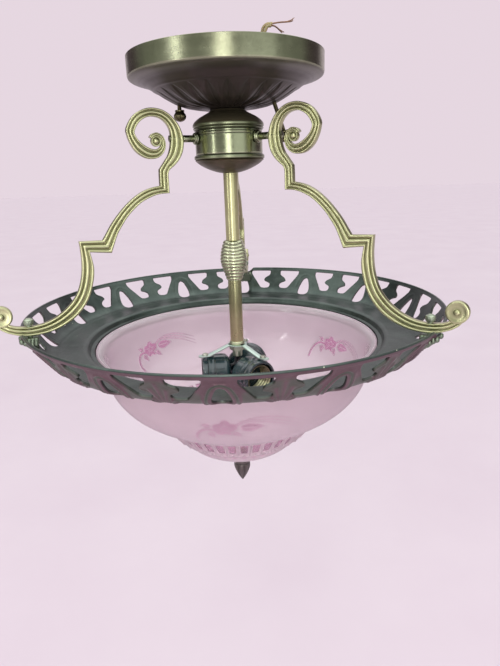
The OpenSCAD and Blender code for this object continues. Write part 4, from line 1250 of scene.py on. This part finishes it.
def finial():
    prof = [[0, -425.1], [2.56, -425.1], [2.56, -408.8], [2.9, -408.7], [8.7, -408.7], [9.3, -409.1], [9.65, -410.2], [9.6, -412.0], [9.1, -412.9], [8.6, -413.5], [8.3, -414.0], [8.6, -414.7]]
    body = cr([[8.9, -415.4], [9.1, -417], [8.8, -420.4], [7.4, -424.8], [5.4, -429.2], [3.4, -432.8], [2.0, -435.0], [1.15, -436.1]], 4)
    i0 = len(prof)
    prof = prof + body.tolist() + [[0.95, -436.5], [0.6, -437.0], [0, -437.2]]

    def warp(rr, zz, th, i):
        if i >= i0 and i < len(prof) - 3:
            t = (i - i0) / (len(body) - 1)
            w = math.sin(math.pi * min(1, 0.08 + t * 0.92)) ** 0.5
            rr = rr * (1 - 0.13 * w * (1 - np.abs(np.cos(4 * th))))
        return rr, zz

    v, f = lathe(prof, 96, warp=warp)
    a = np.arctan2(v[:, 1], v[:, 0])
    # painted shade on the facets between the lobes and in the groove under the collar; the whole bud takes 0.6 of the
    # tint colour
    cav = np.clip((1 - np.abs(np.cos(4 * a))) * 1.0, 0, 1) * (v[:, 2] < -415) * 0.7 + 0.9 * bump(v[:, 2], -414.0, 0.4)
    Piece().add(v, f, cav=np.clip(cav, 0, 1), dusk=0.6).build("finial_bud", M["bud_bronze"], "finial", ["finial"], "dark_brass", angle=36)
    v, f = hexnut(6, 4.4, 2.55)
    Piece().add(v + np.array([0, 0, -400.9]), f).build("finial_hexnut", M["plain_steel"], "bowl", ["finial_nut"], "plain_steel", angle=30)
    v, f = threaded_rod(2.5, 31.5)
    Piece().add(v + np.array([0, 0, -424.5]), f).build("finial_stud_thread", M["plain_brass"], "bowl", ["finial_stud"], "plain_brass", angle=50)


finial()


# ------------------------------------------------------------------ lampholder cluster
def cluster():
    pc = Piece()
    v, f = lathe([[5.1, -274.1], [9.7, -274.1], [10.1, -274.4], [10.1, -275.3], [9.7, -275.6], [5.1, -275.6]], 72, closed=True)
    pc.add(v, f, cav=0.0)
    leg = [[6, -274.1], [9.5, -274.1], [31.5, -282.6], [39.5, -282.6], [39.5, -284.1], [31, -284.1], [9.2, -275.6], [6, -275.6]]
    for a in HOLDERS.values():
        v, f = prism(leg, -3.2, 3.2, 0.45)
        pc.add(turn(v, a + LEG_TURN), f, cav=0.0)
        v, f = lathe([[0, -284.2], [3.1, -284.2], [3.3, -284.0], [3.3, -282.7], [3.1, -282.5], [0, -282.5]], 32)
        pc.add(turn(v + np.array([38.8, 0, 0]), a + LEG_TURN), f, cav=0.0)
    pc.build("star_bracket", M["zinc"], replaces=["cluster_bracket"], slot="zinc", angle=30)
    v, f = hexnut(8.2, 4.6, 5.05)
    Piece().add(turn(v + np.array([0, 0, -280.4]), 12), f).build("cluster_hexnut", M["screw_green"], replaces=["cluster_nut"], slot="plain_steel", angle=30)
    shell = np.array([[0, 8.0], [9.4, 8.1], [10.4, 8.5], [15, 9.8], [17.2, 11.3], [18.5, 13.1], [19.0, 15.0], [19.0, 25.2], [19.2, 25.7], [19.8, 26.0], [19.8, 26.6], [19.4, 27.2], [19.4, 30.8], [19.8, 31.4], [19.8, 32.0], [19.2, 32.4], [18.8, 32.8], [18.8, 37.2], [18.5, 37.8], [17.8, 38.0], [16.6, 38], [16.3, 37.6], [16.3, 12.9], [0, 12.9]])
    prof = shell[:, :]
    for name, a in HOLDERS.items():
        d = np.array([math.cos(math.radians(a)), math.sin(math.radians(a)), 0])
        v, f = lathe(dense(prof, 1.6), 120, closed=True)
        # painted shade at the edges of the collar rings and over the inside of the shell
        cav = np.clip(bump(v[:, 2], 25.5, 0.35) + bump(v[:, 2], 32.6, 0.35) + (np.hypot(v[:, 0], v[:, 1]) < 17.0) * (v[:, 2] > 12.5) * 0.7, 0, 1)
        pc = Piece().add(put(v, (0, 0, -304), z=d), f, cav=cav)
        hv, hf = lathe([[1.35, -287.6], [3.3, -288.4], [3.3, -284.8], [2.9, -284.3], [1.35, -284.3]], 32, closed=True)
        pc.add(turn(hv + np.array([35.0, 0, 0]), a + LEG_TURN), hf, cav=0.0)
        # moulded ribs along the shell
        for g in range(0, 360, 30):
            if 60 < g < 120:
                continue
            rv, rf = prism([[15.6, 18.85], [24.6, 18.85], [24.2, 19.5], [16.2, 19.5]], -0.7, 0.7, 0.2)
            rv = np.stack([rv[:, 2] * math.cos(math.radians(g)) - rv[:, 1] * math.sin(math.radians(g)), rv[:, 2] * math.sin(math.radians(g)) + rv[:, 1] * math.cos(math.radians(g)), rv[:, 0]], 1)
            pc.add(put(rv, (0, 0, -304), z=d), rf, cav=0.0)
        pc.build("holder_%s_moulded" % name, M["holder_black"], replaces=["lampholder_" + name], slot="holder_black", angle=36)
    pc = Piece()
    pi = Piece()
    ps = Piece()
    pw = Piece()
    for a in HOLDERS.values():
        d = np.array([math.cos(math.radians(a)), math.sin(math.radians(a)), 0])
        seg, rows = 96, 110
        th = np.arange(seg) * 2 * math.pi / seg
        z = np.linspace(20.2, 36.4, rows)
        ph = z[:, None] / 3.6 - th[None, :] / (2 * math.pi)
        fade = (step(z, 20.2, 21.6) * (1 - step(z, 35.0, 36.4)))[:, None]
        ro = 13.95 + 0.62 * np.sin(2 * math.pi * ph) * fade
        lip = 0.5 * step(z, 35.6, 36.4)[:, None]
        mk = lambda r: np.stack([(r + lip) * np.cos(th), (r + lip) * np.sin(th), z[:, None] + 0 * th], -1).reshape(-1, 3)
        v = np.concatenate([mk(ro), mk(ro - 0.45)[::1]])
        f = []
        for i in range(rows - 1):
            for k in range(seg):
                k2 = (k + 1) % seg
                f.append([i * seg + k, i * seg + k2, (i + 1) * seg + k2, (i + 1) * seg + k])
                o = rows * seg
                f.append([o + i * seg + k2, o + i * seg + k, o + (i + 1) * seg + k, o + (i + 1) * seg + k2])
        for i in (0, rows - 1):
            for k in range(seg):
                k2 = (k + 1) % seg
                o = rows * seg
                f.append([i * seg + k, i * seg + k2, o + i * seg + k2, o + i * seg + k])
        # painted shade in the thread valleys
        cv = np.clip(0.5 - 0.5 * np.sin(2 * math.pi * ph), 0, 1) * 0.55
        pc.add(put(v, (0, 0, -304), z=d), f, cav=np.concatenate([cv.ravel(), cv.ravel()]))
        v, f = lathe([[0, 13], [16.1, 13], [16.1, 19.6], [15.6, 20.0], [11.0, 20.0], [10.4, 19.3], [6.4, 19.3], [5.8, 20.0], [5.0, 20.0], [4.8, 19.8], [4.8, 17.9], [0, 17.9]], 72)
        # painted shade over the whole insert, which sits inside the shell
        pi.add(put(v, (0, 0, -304), z=d), f, cav=0.4)
        v, f = lathe([[0, -287.8], [1.3, -287.8], [1.3, -282.55], [2.9, -282.5], [3.1, -282.0], [2.9, -281.3], [2.2, -280.6], [1.1, -280.32], [0, -280.3]], 48)
        v = v + np.array([35.0, 0, 0])
        slotm = (np.abs(v[:, 1]) < 0.45) & (v[:, 2] > -281.4)
        v[slotm, 2] -= 0.7
        # painted shade in the screw slots
        ps.add(turn(v, a + LEG_TURN), f, cav=slotm * 0.9)
        route = cr([[1.9, 0.6, -284], [1.9, 0.7, -288], [2.3, 1.1, -291.6], [3.6, 1.8, -294.6], [5.7, 2.3, -296.2], [7.7, 2.4, -296.5]], 6)
        v, f = tube(route, 1.2, 16)
        pw.add(turn(v, a), f, cav=0.0)
    pc.build("screw_shells_rolled", M["shell_brass"], replaces=["screw_shells"], slot="plain_brass", angle=60)
    pi.build("holder_inserts_moulded", M["holder_black"], replaces=["holder_inserts"], slot="holder_black")
    ps.build("holder_screws_slotted", M["plain_steel"], replaces=["holder_screws"], slot="plain_steel")
    pw.build("holder_wires_sheathed", M["wire_black"], replaces=["holder_wires"], slot="wire_black", angle=60)


cluster()


def inside_canopy():
    v, f = hexnut(8.4, 4, 5.1)
    Piece().add(v + np.array([0, 0, -44.3]), f).build("locknut_hex", M["plain_steel"], replaces=["canopy_locknut"], slot="plain_steel", angle=30)
    pc = Piece()
    pc.add(*box((-9, -7, -15.5), (9, 7, -6.4), 0.5), cav=0.0)
    for x in (-4.4, 4.4):
        v, f = lathe([[1.75, -15.4], [2.9, -15.4], [3.3, -15.7], [3.3, -16.0 + 0.5], [2.9, -15.5 + 0.1]], 32, closed=True)
        pc.add(*box((x - 3.4, -5.6, -6.6), (x + 3.4, 5.6, -2.9), 0.5), cav=0.0)
        v, f = lathe([[1.3, -7.12], [2.1, -7.12], [2.3, -7.3], [2.3, -6.6], [1.3, -6.6]], 24, closed=True)
        # painted shade on the screw heads
        pc.add(put(v, (x, 0, -11), z=(0, 1, 0)), f, cav=0.3)
    pc.build("terminal_block_moulded", M["block_white"], replaces=["terminal_block"], slot="block_white", angle=30)


inside_canopy()

# CAD nodes whose shape is right as it is
KEEP = {
    "canopy_nipple": "plain_brass", "canopy_washer": "plain_steel", "hub_core": "plain_steel", "stem_flex": "wire_black",
    "finial_washers": "washer_fibre", "cluster_nipple": "screw_green", "centre_contacts": "plain_brass",
    "terminal_screws": "plain_brass", "earth_screw": "plain_brass",
}
for n, s in KEEP.items():
    ob = nodes[n]
    ob.data.materials.clear()
    ob.data.materials.append(M[s])


# ------------------------------------------------------------------ stage and light
def stage():
    m = Mat("pale_floor")
    a = m.noise(3, 4)
    m.link(m.mix(m.span(a, 0.3, 0.7), lin((210, 198, 207)), lin((206, 193, 203))), m.b.inputs["Base Color"])
    m.b.inputs["Roughness"].default_value = 0.9
    m.b.inputs["Specular IOR Level"].default_value = 0.1
    me = bpy.data.meshes.new("floor")
    me.from_pydata([(-30, -30, -0.95), (30, -30, -0.95), (30, 30, -0.95), (-30, 30, -0.95)], [], [[0, 1, 2, 3]])
    me.materials.append(m.m)
    ob = bpy.data.objects.new("floor", me)
    scene.collection.objects.link(ob)
    # sky: pale behind the lamp, darker to both sides and behind the viewer
    w = bpy.data.worlds.new("world")
    w.use_nodes = True
    t = w.node_tree
    bg = t.nodes["Background"]
    tc = t.nodes.new("ShaderNodeTexCoord")
    sep = t.nodes.new("ShaderNodeSeparateXYZ")
    t.links.new(tc.outputs["Generated"], sep.inputs[0])

    def node(kind, *ins, **kw):
        n = t.nodes.new(kind)
        for k, v in kw.items():
            setattr(n, k, v)
        for i, x in enumerate(ins):
            if isinstance(x, (int, float)):
                n.inputs[i].default_value = x
            elif x is not None:
                t.links.new(x, n.inputs[i])
        return n.outputs[0]

    def blend(fac, below, above):
        mx = t.nodes.new("ShaderNodeMix")
        mx.data_type = "RGBA"
        t.links.new(fac, mx.inputs[0])
        for k, c in ((6, below), (7, above)):
            if isinstance(c, tuple):
                mx.inputs[k].default_value = c
            else:
                t.links.new(c, mx.inputs[k])
        return mx.outputs[2]

    y = sep.outputs[1]
    c = blend(node("ShaderNodeMapRange", y, 0.85, 0.72, 0.0, 1.0), SKY, SIDE)
    c = blend(node("ShaderNodeMapRange", y, 0.40, 0.12, 0.0, 1.0), c, FRONT)
    c = blend(node("ShaderNodeMapRange", sep.outputs[2], 0.45, 0.8, 0.0, 1.0), c, ABOVE)
    t.links.new(c, bg.inputs[0])
    bg.inputs[1].default_value = 1.0
    scene.world = w

    def area(name, loc, target, size, power, col=(1, 1, 1)):
        d = bpy.data.lights.new(name, "AREA")
        d.shape = "RECTANGLE"
        d.size, d.size_y = size
        d.energy = power
        d.color = col
        o = bpy.data.objects.new(name, d)
        o.location = loc
        o.rotation_mode = "QUATERNION"
        o.rotation_quaternion = (Vector(target) - Vector(loc)).to_track_quat("-Z", "Y")
        scene.collection.objects.link(o)

    area("front", (0.15, -1.8, 0.0), (0, 0, -0.2), (0.5, 1.6), 12, (1.0, 0.99, 0.96))
    area("left", (-1.15, -1.11, 0.05), (0, 0, -0.2), (0.07, 1.5), 3.6, (1.0, 0.99, 0.97))
    area("right", (1.06, -1.20, 0.05), (0, 0, -0.2), (1.15, 1.5), 4.6, (0.97, 1.0, 0.98))
    area("bulb_left", (-1.05, -0.80, 0.38), (0, 0, -0.3), (0.045, 0.03), 0.32, (1.0, 1.0, 1.0))
    area("bulb_top", (-0.08, -1.00, 0.70), (0, 0, -0.3), (0.06, 0.06), 0.8, (1.0, 1.0, 1.0))
    d = bpy.data.lights.new("overhead", "SUN")
    d.energy = 2.4
    d.angle = math.radians(110)
    o = bpy.data.objects.new("overhead", d)
    o.location = (0, 0, 1.5)
    scene.collection.objects.link(o)


SKY = (0.79, 0.68, 0.75, 1)
SIDE = (0.115, 0.082, 0.102, 1)
FRONT = (0.38, 0.39, 0.36, 1)
ABOVE = (0.52, 0.50, 0.51, 1)
scene.view_settings.view_transform = "Standard"


stage()
